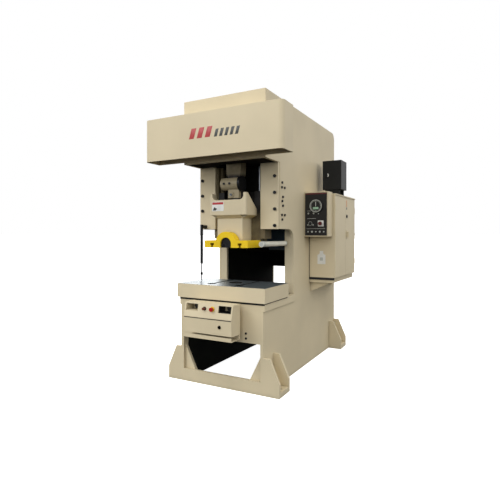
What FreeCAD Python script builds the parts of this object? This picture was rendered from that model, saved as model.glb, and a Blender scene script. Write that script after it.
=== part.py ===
"""Open-front mechanical stamping press, 45 tonne class, as a parametric assembly.

Millimetres, +Z up, +Y towards the back. The origin is the centre of the four floor
anchors. Depths named "..._set" are measured back from the front face of the bed.
"""
import FreeCAD, Part
import math
import os

import Sketcher

SIZES = {
    # welded body
    "body_half": 380, "side_plate": 25, "body_length": 1740, "body_top": 2310,
    "bed_under": 628, "bed_top": 690, "bed_lip": 13, "apron_under": 380, "beam_height": 100,
    "gusset": 150, "throat_set": 584, "throat_top": 1249, "throat_radius": 95, "flange_width": 83,
    "crown_set": 38, "crown_under": 1787, "crown_floor": 25, "roof_radius": 70,
    "upright_set": 268, "back_under": 835, "rod_window": 130, "rod_window_deep": 75,
    # feet and floor anchors
    "foot_reach": 132, "foot_length": 193, "foot_height": 280, "foot_toe": 102,
    "foot_head": 52, "rib": 22, "sole": 40, "anchor_radius": 14,
    # bolster
    "bolster_half": 405, "bolster_front": 22, "bolster_depth": 440, "bolster_height": 113,
    "slot_spacing": 260, "slot_mouth": 22, "slot_throat": 36, "slot_depth": 38, "slot_lip": 20,
    "slot_start": 65, "well_half": 30, "well_length": 70, "knockout_radius": 60,
    # slide and its guides
    "ram_set": 250, "gib_half": 220, "gib_plate": 30, "gib_step": 3, "rail_low": 1170,
    "rail_width": 40, "rail_depth": 122, "guide_gap": 0.3, "guide_half": 205, "key_height": 20,
    "key_width": 40, "guide_web": 58, "slide_low": 1098, "foot_flange": 59, "slide_half": 204,
    "slide_set": 81, "slide_depth": 340, "waist_half": 119, "waist_set": 147, "box_half": 172,
    "box_set": 111, "box_low": 1363, "box_lip": 1486, "box_ear": 1541, "box_wall": 25,
    "box_round": 14, "ear_depth": 30, "ear_radius": 36, "cheek_rear": 45, "bevel": 27,
    "slide_top": 1565, "overlap": 10, "arch_radius": 97, "arch_depth": 70, "arch_rise": 32,
    "clamp_radius": 50, "clamp_set": 14, "clamp_gap": 0.2, "clamp_head": 9, "clamp_screw_x": 34,
    "clamp_screw_z": 20, "shank_radius": 25, "shank_depth": 75, "die_slot_mouth": 18,
    "die_slot_throat": 34, "die_slot_lip": 20, "die_slot_depth": 36,
    # guide screws
    "screw_clear": 0.2, "gib_screw_in": 30, "gib_screw_low": 28, "gib_screw_pitch": 133,
    "gib_head": 13, "gib_head_high": 12, "gib_shank": 8, "side_head": 10, "side_head_high": 9,
    "side_shank": 6,
    # crank train
    "crank_height": 1960, "throw": 40, "journal": 70, "crank_pin": 62, "bush_wall": 20,
    "rod_half": 45, "web_width": 35, "web_radius": 105, "web_gap": 10, "run": 0.05,
    "bearing_wall": 30, "mid_wall_set": 470, "mid_wall_rise": 120, "rear_wall_set": 900,
    "third_wall_set": 1100, "drive_wall_drop": 150, "end_set": 5, "bush_collar": 25,
    "front_bush": 62, "rod_bush_wall": 10, "pinion_bush_wall": 10,
    "big_end": 100, "rod_waist": 73, "rod_taper": 7, "screw_radius": 40, "nut_radius": 70,
    "nut_low": 1500, "nut_height": 200, "ball_radius": 48, "ball_height": 1450, "ball_gap": 9,
    "seat_height": 20, "seat_radius": 105,
    # die height gear case
    "drum_set": 68, "drum_rise": 120, "drum_radius": 53, "drum_left": 83, "drum_length": 163,
    "leg_left": 22, "leg_right": 79, "worm_x": 10, "worm_rise": 30, "worm_boss": 24,
    "worm_wall": 6, "worm_bar": 10, "worm_length": 34, "worm_proud": 12, "end_cap": 62, "cap_width": 22,
    "cover_left": 45, "cover_right": 8, "cover_head": 9, "seat_cut": 1.5,
    # gears, flywheel, clutch, motor and belts
    "gear_module": 7, "gear_teeth": 84, "pinion_teeth": 17, "gear_width": 70, "gear_set": 30,
    "pinion_shaft": 35, "wheel_radius": 330, "wheel_width": 120, "wheel_set": 1300,
    "rim_depth": 60, "hub_wall": 55, "wheel_dish": 8, "wheel_cap": 58, "wheel_cap_width": 26,
    "clutch_set": 60, "clutch_radius": 150, "clutch_length": 100,
    "pulley_radius": 75, "motor_height": 1180, "motor_radius": 115, "motor_length": 240,
    "motor_gap": 30, "motor_foot": 15, "terminal_reach": 50, "terminal_width": 100,
    "bracket_thick": 20, "motor_pulley_edge": 10, "motor_shaft_radius": 19,
    "belt_edge": 22, "belt_pitch": 21, "belt_width": 14, "belt_thick": 9,
    # counterbalance cylinders
    "lifter_x": 150, "lifter_set": 392, "lifter_radius": 45, "lifter_bore": 38, "lifter_height": 230,
    "lifter_end": 10, "lifter_rod": 12, "lifter_clear": 1, "piston_rise": 100, "piston_height": 30,
    # hood
    "hood_left": 645, "hood_right": 605, "hood_front": 144, "hood_low": 1803, "hood_high": 2146,
    "hood_radius": 38, "hood_wall": 12, "sheet": 3,
    # electric cabinet
    "cab_set": 962, "cab_depth": 680, "cab_reach": 252, "cab_low": 805, "cab_high": 1570,
    "door_thick": 16, "shelf_height": 48, "shelf_step": 6, "lip_reach": 6, "lip_height": 12,
    "strut_set": 40, "strut_short": 60, "strut_drop": 90, "stile_set": 4, "stile_gap": 0.6,
    "stile_short": 60, "handle_set": 37, "handle_half": 16, "handle_low": 1165,
    "handle_height": 80, "handle_reach": 23, "handle_rim": 6,
    # press control box
    "ctl_depth": 127, "ctl_reach": 226, "ctl_low": 1186, "ctl_high": 1592, "fascia_thick": 3,
    "fascia_rim": 10, "dial_x": 118, "dial_drop": 130, "dial_radius": 62, "dial_reach": 20,
    "stop_x": 160, "knob_x": 60, "control_rise": 118, "stop_plate": 56, "stop_plate_thick": 2,
    "stop_head": 17, "stop_stem": 10.95, "knob_stem": 7.95, "knob_rise": 7, "knob_radius": 14,
    "knob_bar": 6, "button_head": 14, "button_depth": 24, "button_travel": 6,
    # operator's two-hand box
    "op_half": 215, "op_front": 185, "op_back": 60, "op_low": 455, "op_fold": 581,
    "op_high": 684, "op_tray": 418, "op_wall": 4, "op_door": 18, "op_head": 12, "op_roof": 100,
    "op_mount_inset": 60, "op_lock_x": 112, "op_lock_z": 520, "op_lock": 11, "op_lock_reach": 6,
    "op_row": 645, "op_stop_x": 40, "op_cycle_x": 30, "op_stop": 15, "op_cycle": 10,
    "op_stem": 7.95, "op_stem_deep": 60, "op_button_proud": 25,
    "palm_x": 148, "palm_height": 650, "palm_floor": 622, "palm_ceiling": 674, "palm_recess": 110,
    "palm_radius": 19, "palm_stem": 12, "palm_head": 14, "palm_proud": 34,
    # clutch valve box
    "vb_set": 1160, "vb_depth": 180, "vb_out": 66, "vb_reach": 185, "vb_low": 1640,
    "vb_high": 1920, "vb_door": 12, "vb_leg_set": 20, "vb_leg": 8, "vb_lock": 13, "vb_lock_x": 40,
    "vb_lock_z": 140,
    # work lamp and guard post
    "lamp_out": 45, "lamp_set": 107, "lamp_height": 1128, "lamp_radius": 22, "lamp_stalk": 8,
    "lamp_stalk_length": 26, "post_x": 320, "post_set": 206, "post_thin": 5,
    "post_thin_length": 146, "post_thick": 12, "post_collar": 11, "post_collar_rise": 50,
    "post_clip": 28, "post_over": 41, "post_gap": 4,
}

doc = FreeCAD.newDocument("stamping_press")
sheet = doc.addObject("Spreadsheet::Sheet", "Sizes")


class Size:
    """A length that carries both its number and the sheet formula behind it."""

    def __init__(self, value, text):
        self.value = float(value)
        self.text = text

    def __add__(self, other):
        other = size(other)
        return Size(self.value + other.value, "(%s + %s)" % (self.text, other.text))

    def __sub__(self, other):
        other = size(other)
        return Size(self.value - other.value, "(%s - %s)" % (self.text, other.text))

    def __mul__(self, other):
        other = size(other)
        return Size(self.value * other.value, "(%s * %s)" % (self.text, other.text))

    def __truediv__(self, other):
        other = size(other)
        return Size(self.value / other.value, "(%s / %s)" % (self.text, other.text))

    def __radd__(self, other):
        return size(other) + self

    def __rsub__(self, other):
        return size(other) - self

    def __rmul__(self, other):
        return size(other) * self

    def __neg__(self):
        return size(0) - self


def size(value):
    return value if isinstance(value, Size) else Size(value, "%.6f" % value)


class Sheet:
    """Every cell of the sheet as an attribute, such as S.body_half."""


S = Sheet()
for row, (alias, number) in enumerate(SIZES.items(), 1):
    sheet.set("A%d" % row, alias)
    sheet.set("B%d" % row, str(number))
    sheet.setAlias("B%d" % row, alias)
    setattr(S, alias, Size(number, "Sizes." + alias))
doc.recompute()

front = -(S.body_length / 2)
back = S.body_length / 2
inner = S.body_half - S.side_plate
upright = front + S.upright_set + S.gib_plate
ram = front + S.ram_set
pinion_height = S.crank_height - S.gear_module * (S.gear_teeth + S.pinion_teeth) / 2
seat_floor = S.ball_height - S.ball_radius - S.ball_gap - S.seat_height
PLANES = {"XY": "XY_Plane", "XZ": "XZ_Plane", "YZ": "YZ_Plane"}
nodes = []


# ---------------------------------------------------------------- building blocks
def bind(item, name, value):
    item.setExpression(name, size(value).text)


def place(item, at):
    for axis, value in zip("xyz", at):
        bind(item, "Placement.Base." + axis, value)


def node(item, label):
    item.Label = label
    nodes.append(item)
    return item


def box(label, x, y, z, keep=True):
    """A block between two corners given as (low, high) pairs."""
    item = doc.addObject("Part::Box", label)
    for name, (low, high) in zip(("Length", "Width", "Height"), (x, y, z)):
        bind(item, name, size(high) - low)
    place(item, (x[0], y[0], z[0]))
    return node(item, label) if keep else item


TURNS = {"X": FreeCAD.Rotation(FreeCAD.Vector(0, 1, 0), 90),
         "Y": FreeCAD.Rotation(FreeCAD.Vector(1, 0, 0), -90),
         "Z": FreeCAD.Rotation()}


def rod(label, axis, at, radius, length, keep=True):
    """A round bar that starts at a point and runs along +X, +Y or +Z."""
    item = doc.addObject("Part::Cylinder", label)
    item.Placement = FreeCAD.Placement(FreeCAD.Vector(), TURNS[axis])
    bind(item, "Radius", radius)
    bind(item, "Height", length)
    place(item, at)
    return node(item, label) if keep else item


def fuse(label, items, keep=True):
    item = doc.addObject("Part::MultiFuse", label)
    item.Shapes = items
    return node(item, label) if keep else item


def cut(label, base, tools, keep=True):
    """The base less every tool."""
    item = doc.addObject("Part::Cut", label)
    item.Base = base
    item.Tool = tools[0] if len(tools) == 1 else fuse(label + "_tools", tools, keep=False)
    return node(item, label) if keep else item


def group(label, items):
    """Separate solids that are one kind of piece."""
    item = doc.addObject("Part::Compound", label)
    item.Links = items
    return node(item, label)


def body(label, at=(0, 0, 0), turn=0.0, keep=True):
    item = doc.addObject("PartDesign::Body", label)
    item.Placement = FreeCAD.Placement(FreeCAD.Vector(), FreeCAD.Rotation(FreeCAD.Vector(0, 0, 1), turn))
    place(item, at)
    item.Label = label
    return node(item, label) if keep else item


def origin_plane(owner, plane):
    return next(f for f in owner.Origin.OriginFeatures if f.Role == PLANES[plane])


def sketch(owner, plane, loops, level=0):
    """A fully constrained sketch: a loop is a list of corners, (centre x, centre y, radius),
    or an arch given as {"half": half width, "low": its foot, "rise": its centre height}."""
    item = owner.newObject("Sketcher::SketchObject", owner.Label + "_sketch")
    item.AttachmentSupport = [(origin_plane(owner, plane), "")]
    item.MapMode = "FlatFace"
    bind(item, "AttachmentOffset.Base.z", level)
    for loop in loops:
        if isinstance(loop, tuple):
            add_circle(item, *loop)
        elif isinstance(loop, dict):
            add_arch(item, loop["half"], loop["low"], loop["rise"])
        else:
            add_outline(item, loop)
    return item


def fix(item, kind, geometry, point, value):
    index = item.addConstraint(Sketcher.Constraint(kind, -1, 1, geometry, point, size(value).value))
    bind(item, "Constraints[%d]" % index, value)


def add_circle(item, across, along, radius):
    centre = FreeCAD.Vector(size(across).value, size(along).value, 0)
    circle = Part.Circle(centre, FreeCAD.Vector(0, 0, 1), size(radius).value)
    geometry = item.addGeometry(circle)
    fix(item, "DistanceX", geometry, 3, across)
    fix(item, "DistanceY", geometry, 3, along)
    index = item.addConstraint(Sketcher.Constraint("Radius", geometry, size(radius).value))
    bind(item, "Constraints[%d]" % index, radius)


def add_arch(item, half, low, rise):
    """Three straight sides under a half circle, symmetric about the vertical axis."""
    half, low, rise = size(half), size(low), size(rise)
    feet = [(-half, rise), (-half, low), (half, low), (half, rise)]
    points = [FreeCAD.Vector(x.value, y.value, 0) for x, y in feet]
    for i in range(3):
        item.addGeometry(Part.LineSegment(points[i], points[i + 1]))
    circle = Part.Circle(FreeCAD.Vector(0, rise.value, 0), FreeCAD.Vector(0, 0, 1), half.value)
    item.addGeometry(Part.ArcOfCircle(circle, 0, math.pi))
    for first, second in ((0, 1), (1, 2)):
        item.addConstraint(Sketcher.Constraint("Coincident", first, 2, second, 1))
    item.addConstraint(Sketcher.Constraint("Coincident", 2, 2, 3, 1))
    item.addConstraint(Sketcher.Constraint("Coincident", 0, 1, 3, 2))
    for geometry, point, (x, y) in ((0, 1, feet[0]), (1, 1, feet[1]), (2, 1, feet[2]), (2, 2, feet[3])):
        fix(item, "DistanceX", geometry, point, x)
        fix(item, "DistanceY", geometry, point, y)
    fix(item, "DistanceY", 3, 3, rise)


def add_outline(item, corners):
    first = item.GeometryCount
    points = [FreeCAD.Vector(size(x).value, size(y).value, 0) for x, y in corners]
    count = len(points)
    for i in range(count):
        item.addGeometry(Part.LineSegment(points[i], points[(i + 1) % count]))
    for i in range(count):
        joint = Sketcher.Constraint("Coincident", first + i, 2, first + (i + 1) % count, 1)
        item.addConstraint(joint)
    for i, (x, y) in enumerate(corners):
        fix(item, "DistanceX", first + i, 1, x)
        fix(item, "DistanceY", first + i, 1, y)


def pad(owner, plane, loops, low, high):
    """Material between two levels across the plane."""
    level = -size(high) if plane == "XZ" else low
    item = owner.newObject("PartDesign::Pad", owner.Label + "_pad")
    item.Profile = sketch(owner, plane, loops, level)
    bind(item, "Length", size(high) - low)
    return item


def pocket(owner, plane, loops, low, high):
    """A cut between two levels across the plane."""
    level = -size(low) if plane == "XZ" else high
    item = owner.newObject("PartDesign::Pocket", owner.Label + "_pocket")
    item.Profile = sketch(owner, plane, loops, level)
    bind(item, "Length", size(high) - low)
    return item


def revolve(owner, corners):
    """A turned piece about its own Y axis, from (along Y, radius) corners."""
    item = owner.newObject("PartDesign::Revolution", owner.Label + "_turn")
    profile = sketch(owner, "YZ", [corners])
    item.Profile = profile
    item.ReferenceAxis = (profile, ["H_Axis"])
    item.Angle = 360
    return item


def fillet(owner, radius, axis, spots):
    """Round the edges that run along an axis through the given (u, v) spots."""
    doc.recompute()
    across = [i for i in range(3) if i != axis]
    names = []
    for number, edge in enumerate(owner.Tip.Shape.Edges, 1):
        ends = [v.Point for v in edge.Vertexes]
        if len(ends) != 2 or any(abs(ends[0][i] - ends[1][i]) > 0.01 for i in across):
            continue
        for spot in spots:
            gaps = [abs(ends[0][i] - size(s).value) for i, s in zip(across, spot)]
            if max(gaps) < 0.05:
                names.append("Edge%d" % number)
    item = owner.newObject("PartDesign::Fillet", owner.Label + "_round")
    item.Base = (owner.Tip if owner.Tip != item else item.BaseFeature, names)
    bind(item, "Radius", radius)
    return item


def rectangle(x0, y0, x1, y1):
    return [(x0, y0), (x1, y0), (x1, y1), (x0, y1)]


def screw(name, axis, side, at, head, height, shank, length):
    """A round-headed screw seated at a point; its head stands out towards side, +1 or -1."""
    index = "XYZ".index(axis)
    seat = [size(v) for v in at]
    shank_low = list(seat)
    head_low = list(seat)
    if side > 0:
        shank_low[index] = seat[index] - length
    else:
        head_low[index] = seat[index] - height
    parts = [rod(name + "_shank", axis, shank_low, shank, length, keep=False),
             rod(name + "_head", axis, head_low, head, height, keep=False)]
    return fuse(name, parts, keep=False)


# ---------------------------------------------------------------- welded body
SIDES = (("left", -1), ("right", 1))
side_screws = [(set_, S.crown_under - drop) for set_, drop in
               ((338, 159), (338, 310), (338, 460), (352, 276), (352, 347),
                (333, 198), (388, 198), (333, 423), (388, 423))]


def make_side_plate(side, sign):
    """The C-shaped side of the body, with its throat and the guide adjusting screws' holes."""
    owner = body(side + "_side_plate", at=(-S.body_half if sign < 0 else inner, 0, 0))
    crown = front + S.crown_set + S.side_plate
    throat = front + S.throat_set
    outline = [(front, 0), (back, 0), (back, S.body_top), (crown, S.body_top),
               (crown, S.crown_under), (upright, S.crown_under),
               (upright, S.throat_top), (throat, S.throat_top), (throat, S.bed_under),
               (front, S.bed_under)]
    holes = [(front + set_, height, S.side_shank + S.screw_clear) for set_, height in side_screws]
    pad(owner, "YZ", [outline] + holes, 0, S.side_plate)
    fillet(owner, S.roof_radius, 0, [(back, S.body_top)])
    fillet(owner, S.throat_radius, 0, [(throat, S.throat_top)])


def make_foot(end, side, along, turn):
    """A gusseted floor ear: two ribs, a sole with its anchor hole."""
    sign = -1 if side == "left" else 1
    name = end + "_" + side + "_foot"
    owner = body(name, at=(sign * S.body_half, along, 0), turn=turn, keep=False)
    half = S.foot_length / 2
    rib = [(0, 0), (S.foot_reach, 0), (S.foot_reach, S.foot_toe), (S.foot_head, S.foot_height),
           (0, S.foot_height)]
    pad(owner, "XZ", [rib], -half, -half + S.rib)
    pad(owner, "XZ", [rib], half - S.rib, half)
    sole = rectangle(0, -half + S.rib, S.foot_reach, half - S.rib)
    pad(owner, "XY", [sole, ((S.foot_reach + S.foot_head) / 2, 0, S.anchor_radius)], 0, S.sole)
    return owner


def make_front_frame():
    """Floor beams, the bed's front plate and top plate, and the flanges beside the throat."""
    beams = [make_beam("front_floor_beam", front, front + S.side_plate),
             make_beam("rear_floor_beam", back - S.side_plate, back - 2 * S.side_plate)]
    group("floor_beams", beams)
    apron = body("bed_front_plate")
    pad(apron, "XZ", [rectangle(-inner, S.apron_under, inner, S.bed_under)], front, front + S.side_plate)
    wide = S.body_half + S.bed_lip
    bed = body("bed_top_plate")
    plate = rectangle(-wide, front, wide, front + S.throat_set)
    pad(bed, "XY", [plate, (0, ram, S.knockout_radius)], S.bed_under, S.bed_top)
    reach = S.flange_width - S.side_plate
    throat = front + S.throat_set
    flanges = []
    for side, sign in SIDES:
        x = (inner - reach, inner) if sign > 0 else (-inner, reach - inner)
        flanges.append(box(side + "_throat_flange", x, (throat, throat + S.side_plate),
                           (S.bed_under, S.throat_top), keep=False))
    group("throat_flanges", flanges)


def make_beam(name, low, gusset_low):
    """A flat floor beam between the side plates with a gusset at each corner."""
    owner = body(name, keep=False)
    pad(owner, "XZ", [rectangle(-inner, 0, inner, S.beam_height)], low, low + S.side_plate)
    for sign in (-1, 1):
        wall = sign * inner
        corners = [(wall, 0), (wall - sign * S.gusset, 0), (wall, 2 * S.gusset)]
        pad(owner, "XZ", [corners], gusset_low, gusset_low + S.side_plate)
    return owner


def make_crown():
    """Front plate, floor and roof of the crown, and the bearing walls inside it."""
    plate = body("crown_front_plate")
    face = front + S.crown_set
    outline = rectangle(-S.body_half, S.crown_under, S.body_half, S.body_top)
    bush = S.journal + S.run + S.bush_wall
    pad(plate, "XZ", [outline, (0, S.crank_height, bush)], face, face + S.side_plate)

    floor = body("crown_floor")
    behind = front + S.mid_wall_set
    floor_plate = rectangle(-inner, face + S.side_plate, inner, behind)
    window = rectangle(-S.rod_window, ram - S.rod_window_deep, S.rod_window, ram + S.rod_window_deep)
    holes = [(sign * S.lifter_x, front + S.lifter_set, S.lifter_rod + S.lifter_clear)
             for sign in (-1, 1)]
    pad(floor, "XY", [floor_plate, window] + holes, S.crown_under, S.crown_under + S.crown_floor)

    roof = body("roof_and_back_plate")
    outer = [(face + S.side_plate, S.body_top), (back, S.body_top), (back, S.back_under),
             (back - S.side_plate, S.back_under), (back - S.side_plate, S.body_top - S.side_plate),
             (face + S.side_plate, S.body_top - S.side_plate)]
    pad(roof, "YZ", [outer], -inner, inner)
    fillet(roof, S.roof_radius, 0, [(back, S.body_top)])
    fillet(roof, S.roof_radius - S.side_plate, 0, [(back - S.side_plate, S.body_top - S.side_plate)])

    drive_low = pinion_height - S.drive_wall_drop
    walls = (("middle_bearing_wall", S.mid_wall_set, S.throat_top + S.mid_wall_rise, False),
             ("rear_bearing_wall", S.rear_wall_set, drive_low, True),
             ("outer_bearing_wall", S.third_wall_set, drive_low, True))
    plates = []
    for label, set_, low, has_pinion in walls:
        owner = body(label, keep=False)
        plates.append(owner)
        loops = [rectangle(-inner, low, inner, S.body_top - S.side_plate)]
        loops.append((0, S.crank_height, bush))
        if has_pinion:
            loops.append((0, pinion_height, S.pinion_shaft + S.run + S.pinion_bush_wall))
        pad(owner, "XZ", loops, front + set_, front + set_ + S.bearing_wall)
    group("bearing_walls", plates)


def make_hood():
    """Box cover over the front of the crown, open underneath."""
    owner = body("crown_hood")
    depth_front = front - S.hood_front
    face = front + S.crown_set
    outer = rectangle(-S.hood_left, depth_front, S.hood_right, face)
    pad(owner, "XY", [outer], S.hood_low, S.hood_high)
    fillet(owner, S.hood_radius, 2, [(-S.hood_left, depth_front), (S.hood_right, depth_front)])
    wall = S.hood_wall
    hollow = rectangle(-S.hood_left + wall, depth_front + wall, S.hood_right - wall, face - wall)
    pocket(owner, "XY", [hollow], S.hood_low, S.hood_high - wall)


# ---------------------------------------------------------------- bolster
def make_bolster():
    """Machined table plate with a knock-out hole and two T-slots, closed in front and open at
    the back, each with a well near the front where a bolt's head drops in."""
    owner = body("bolster", at=(0, front - S.bolster_front, S.bed_top))
    outline = rectangle(-S.bolster_half, 0, S.bolster_half, S.bolster_depth)
    centre = S.ram_set + S.bolster_front
    pad(owner, "XY", [outline, (0, centre, S.knockout_radius)], 0, S.bolster_height)
    top = S.bolster_height
    neck = top - S.slot_lip
    floor = top - S.slot_depth
    for sign in (-1, 1):
        middle = sign * S.slot_spacing / 2
        mouth = S.slot_mouth / 2
        throat = S.slot_throat / 2
        pocket(owner, "XZ", [rectangle(middle - mouth, neck, middle + mouth, top)],
               S.slot_start, S.bolster_depth)
        pocket(owner, "XZ", [rectangle(middle - throat, floor, middle + throat, neck)],
               S.slot_start, S.bolster_depth)
        well = rectangle(middle - S.well_half, S.slot_start, middle + S.well_half,
                         S.slot_start + S.well_length)
        pocket(owner, "XY", [well], floor, top)


# ---------------------------------------------------------------- slide guides
def make_guides():
    """Gib plates on the uprights, guide rails and the blocks behind them, and their screws."""
    gibs = []
    rails = []
    backings = []
    gib_screws = []
    side_heads = []
    for side, sign in SIDES:
        near = sign * S.gib_half
        far = sign * (S.body_half - S.gib_step)
        screw_x = sign * (S.body_half - S.gib_screw_in)
        spots = [(screw_x, S.throat_top + S.gib_screw_low + i * S.gib_screw_pitch) for i in range(4)]
        gib = body(side + "_gib_plate", keep=False)
        outline = [(near, S.throat_top), (far, S.throat_top), (far, S.crown_under), (near, S.crown_under)]
        holes = [(x, z, S.gib_shank + S.screw_clear) for x, z in spots]
        pad(gib, "XZ", [outline] + holes, front + S.upright_set, upright)
        gibs.append(gib)
        rails.append(make_rail(side, sign))
        backings.append(make_backing(side, sign))
        for x, z in spots:
            seat = (x, front + S.upright_set, z)
            gib_screws.append(screw("gib_screw", "Y", -1, seat, S.gib_head, S.gib_head_high,
                                    S.gib_shank, S.gib_plate))
        for set_, height in side_screws:
            seat = (sign * S.body_half, front + set_, height)
            side_heads.append(screw("side_screw", "X", sign, seat, S.side_head, S.side_head_high,
                                    S.side_shank, S.side_plate))
    group("gib_plates", gibs)
    group("guide_rails", rails)
    group("guide_backings", backings)
    group("gib_plate_screws", gib_screws)
    group("guide_adjusting_screws", side_heads)


def make_rail(side, sign):
    """Guide rail with a long key that the slide's groove runs on."""
    near = sign * (S.guide_half + S.guide_gap)
    far = sign * (S.guide_half + S.guide_gap + S.rail_width)
    rail = body(side + "_guide_rail", keep=False)
    low = upright
    high = upright + S.rail_depth
    middle = (low + high) / 2
    tip = near - sign * S.key_height
    outline = [(near, low), (far, low), (far, high), (near, high), (near, middle + S.key_width / 2),
               (tip, middle + S.key_width / 2), (tip, middle - S.key_width / 2),
               (near, middle - S.key_width / 2)]
    pad(rail, "XY", [outline], S.rail_low, S.crown_under)
    return rail


def make_backing(side, sign):
    """Block between a rail and the side plate."""
    near = sign * (S.guide_half + S.guide_gap + S.rail_width)
    far = sign * inner
    backing = body(side + "_guide_backing", keep=False)
    block = [(near, upright), (far, upright), (far, upright + S.rail_depth), (near, upright + S.rail_depth)]
    pad(backing, "XY", [block], S.throat_top, S.crown_under)
    return backing


# ---------------------------------------------------------------- slide
def make_slide():
    """The ram casting: guide block, waist, flared box open at the top, die flange and arch."""
    owner = body("slide")
    rear = upright + S.rail_depth
    flange_top = S.slide_low + S.foot_flange
    flange_back = front + S.slide_set + S.slide_depth
    root_deep = upright + S.overlap
    guide = rectangle(-S.guide_half, upright + S.guide_gap, S.guide_half, rear)
    pad(owner, "XY", [guide], S.slide_low, S.slide_top)
    waist_face = front + S.waist_set
    waist = rectangle(-S.waist_half, waist_face, S.waist_half, root_deep)
    pad(owner, "XY", [waist], S.slide_low + 1, S.box_low + 1)
    box_face = front + S.box_set
    box_plan = rectangle(-S.box_half, box_face, S.box_half, root_deep)
    pad(owner, "XY", [box_plan], S.box_low, seat_floor + 1)
    front_wall = rectangle(-S.box_half, box_face, S.box_half, box_face + S.box_wall)
    pad(owner, "XY", [front_wall], S.box_low, S.box_lip)
    bevel = [(box_face, S.box_low), (upright, S.box_low), (upright, S.box_low - S.bevel),
             (waist_face, S.box_low - S.bevel)]
    pad(owner, "YZ", [bevel], -S.waist_half, S.waist_half)
    side_step = S.box_half - S.waist_half
    cheek_back = upright + S.overlap / 2
    for sign in (-1, 1):
        root = sign * (S.waist_half - S.overlap / 2)
        slope = S.bevel / side_step
        root_low = S.box_low - (side_step + S.overlap / 2) * slope
        flare = [(root, S.box_low), (sign * S.box_half, S.box_low), (root, root_low)]
        pad(owner, "XZ", [flare], waist_face, root_deep)
        cheek = [(box_face, S.box_low), (box_face, S.box_ear), (box_face + S.ear_depth, S.box_ear),
                 (cheek_back, S.box_low + S.cheek_rear), (cheek_back, S.box_low)]
        low = S.box_half - S.box_wall if sign > 0 else -S.box_half
        pad(owner, "YZ", [cheek], low, low + S.box_wall)
        ear = sign * (S.box_half - S.box_wall + 1)
        corner = rectangle(ear, S.box_lip - 1, ear - sign * (S.ear_radius + 1), S.box_lip + S.ear_radius)
        pad(owner, "XZ", [corner], box_face, box_face + S.box_wall)
        arc = (sign * (S.box_half - S.box_wall - S.ear_radius), S.box_lip + S.ear_radius, S.ear_radius)
        pocket(owner, "XZ", [arc], box_face - 1, box_face + S.box_wall + 1)
    fillet(owner, S.box_round, 2, [(-S.box_half, box_face), (S.box_half, box_face)])
    hollow = rectangle(-S.box_half + S.box_wall, box_face + S.box_wall, S.box_half - S.box_wall,
                       rear - S.guide_web)
    pocket(owner, "XY", [hollow], seat_floor, S.slide_top + 1)
    add_slide_flange(owner, flange_top, flange_back)
    for sign in (-1, 1):
        groove_side = sign * S.guide_half
        middle = upright + S.rail_depth / 2
        half = S.key_width / 2 + S.guide_gap
        groove = [(groove_side + sign, middle - half), (groove_side + sign, middle + half),
                  (groove_side - sign * S.key_height, middle + half),
                  (groove_side - sign * S.key_height, middle - half)]
        pocket(owner, "XY", [groove], S.slide_low, S.slide_top)


def add_slide_flange(owner, flange_top, flange_back):
    """Die flange with two T-slots, the clamp arch over the shank hole and the shank hole."""
    face = front + S.slide_set
    flange = rectangle(-S.slide_half, face, S.slide_half, flange_back)
    pad(owner, "XY", [flange], S.slide_low, flange_top)
    arch_centre = S.slide_low + S.arch_rise
    boss = {"half": S.arch_radius, "low": S.slide_low, "rise": arch_centre}
    pad(owner, "XZ", [boss], face, face + S.arch_depth)
    window = {"half": S.clamp_radius, "low": S.slide_low - 1, "rise": arch_centre}
    pocket(owner, "XZ", [window], face - 1, ram)
    pocket(owner, "XY", [(0, ram, S.shank_radius)], S.slide_low - 1, S.slide_low + S.shank_depth)
    mouth = S.die_slot_mouth / 2
    throat = S.die_slot_throat / 2
    neck = S.slide_low + S.die_slot_lip
    for sign in (-1, 1):
        middle = sign * S.slot_spacing / 2
        pocket(owner, "XZ", [rectangle(middle - mouth, S.slide_low - 1, middle + mouth, neck)],
               face - 1, flange_back + 1)
        top = S.slide_low + S.die_slot_depth
        pocket(owner, "XZ", [rectangle(middle - throat, neck, middle + throat, top)],
               face - 1, flange_back + 1)


def make_shank_clamp():
    """Arched clamp block in the front of the die flange, bored for half of the die shank."""
    owner = body("shank_clamp")
    seat = S.clamp_radius - S.guide_gap
    arch_centre = S.slide_low + S.arch_rise
    face = front + S.slide_set + S.clamp_set
    pad(owner, "XZ", [{"half": seat, "low": S.slide_low, "rise": arch_centre}], face, ram - S.clamp_gap)
    pocket(owner, "XY", [(0, ram, S.shank_radius)], S.slide_low - 1, S.slide_low + S.shank_depth)
    head_y = face - S.clamp_head
    head_z = S.slide_low + S.clamp_screw_z
    heads = [rod("clamp_screw", "Y", (sign * S.clamp_screw_x, head_y, head_z), S.clamp_head, S.clamp_head,
                 keep=False) for sign in (-1, 1)]
    group("shank_clamp_screws", heads)


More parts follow.
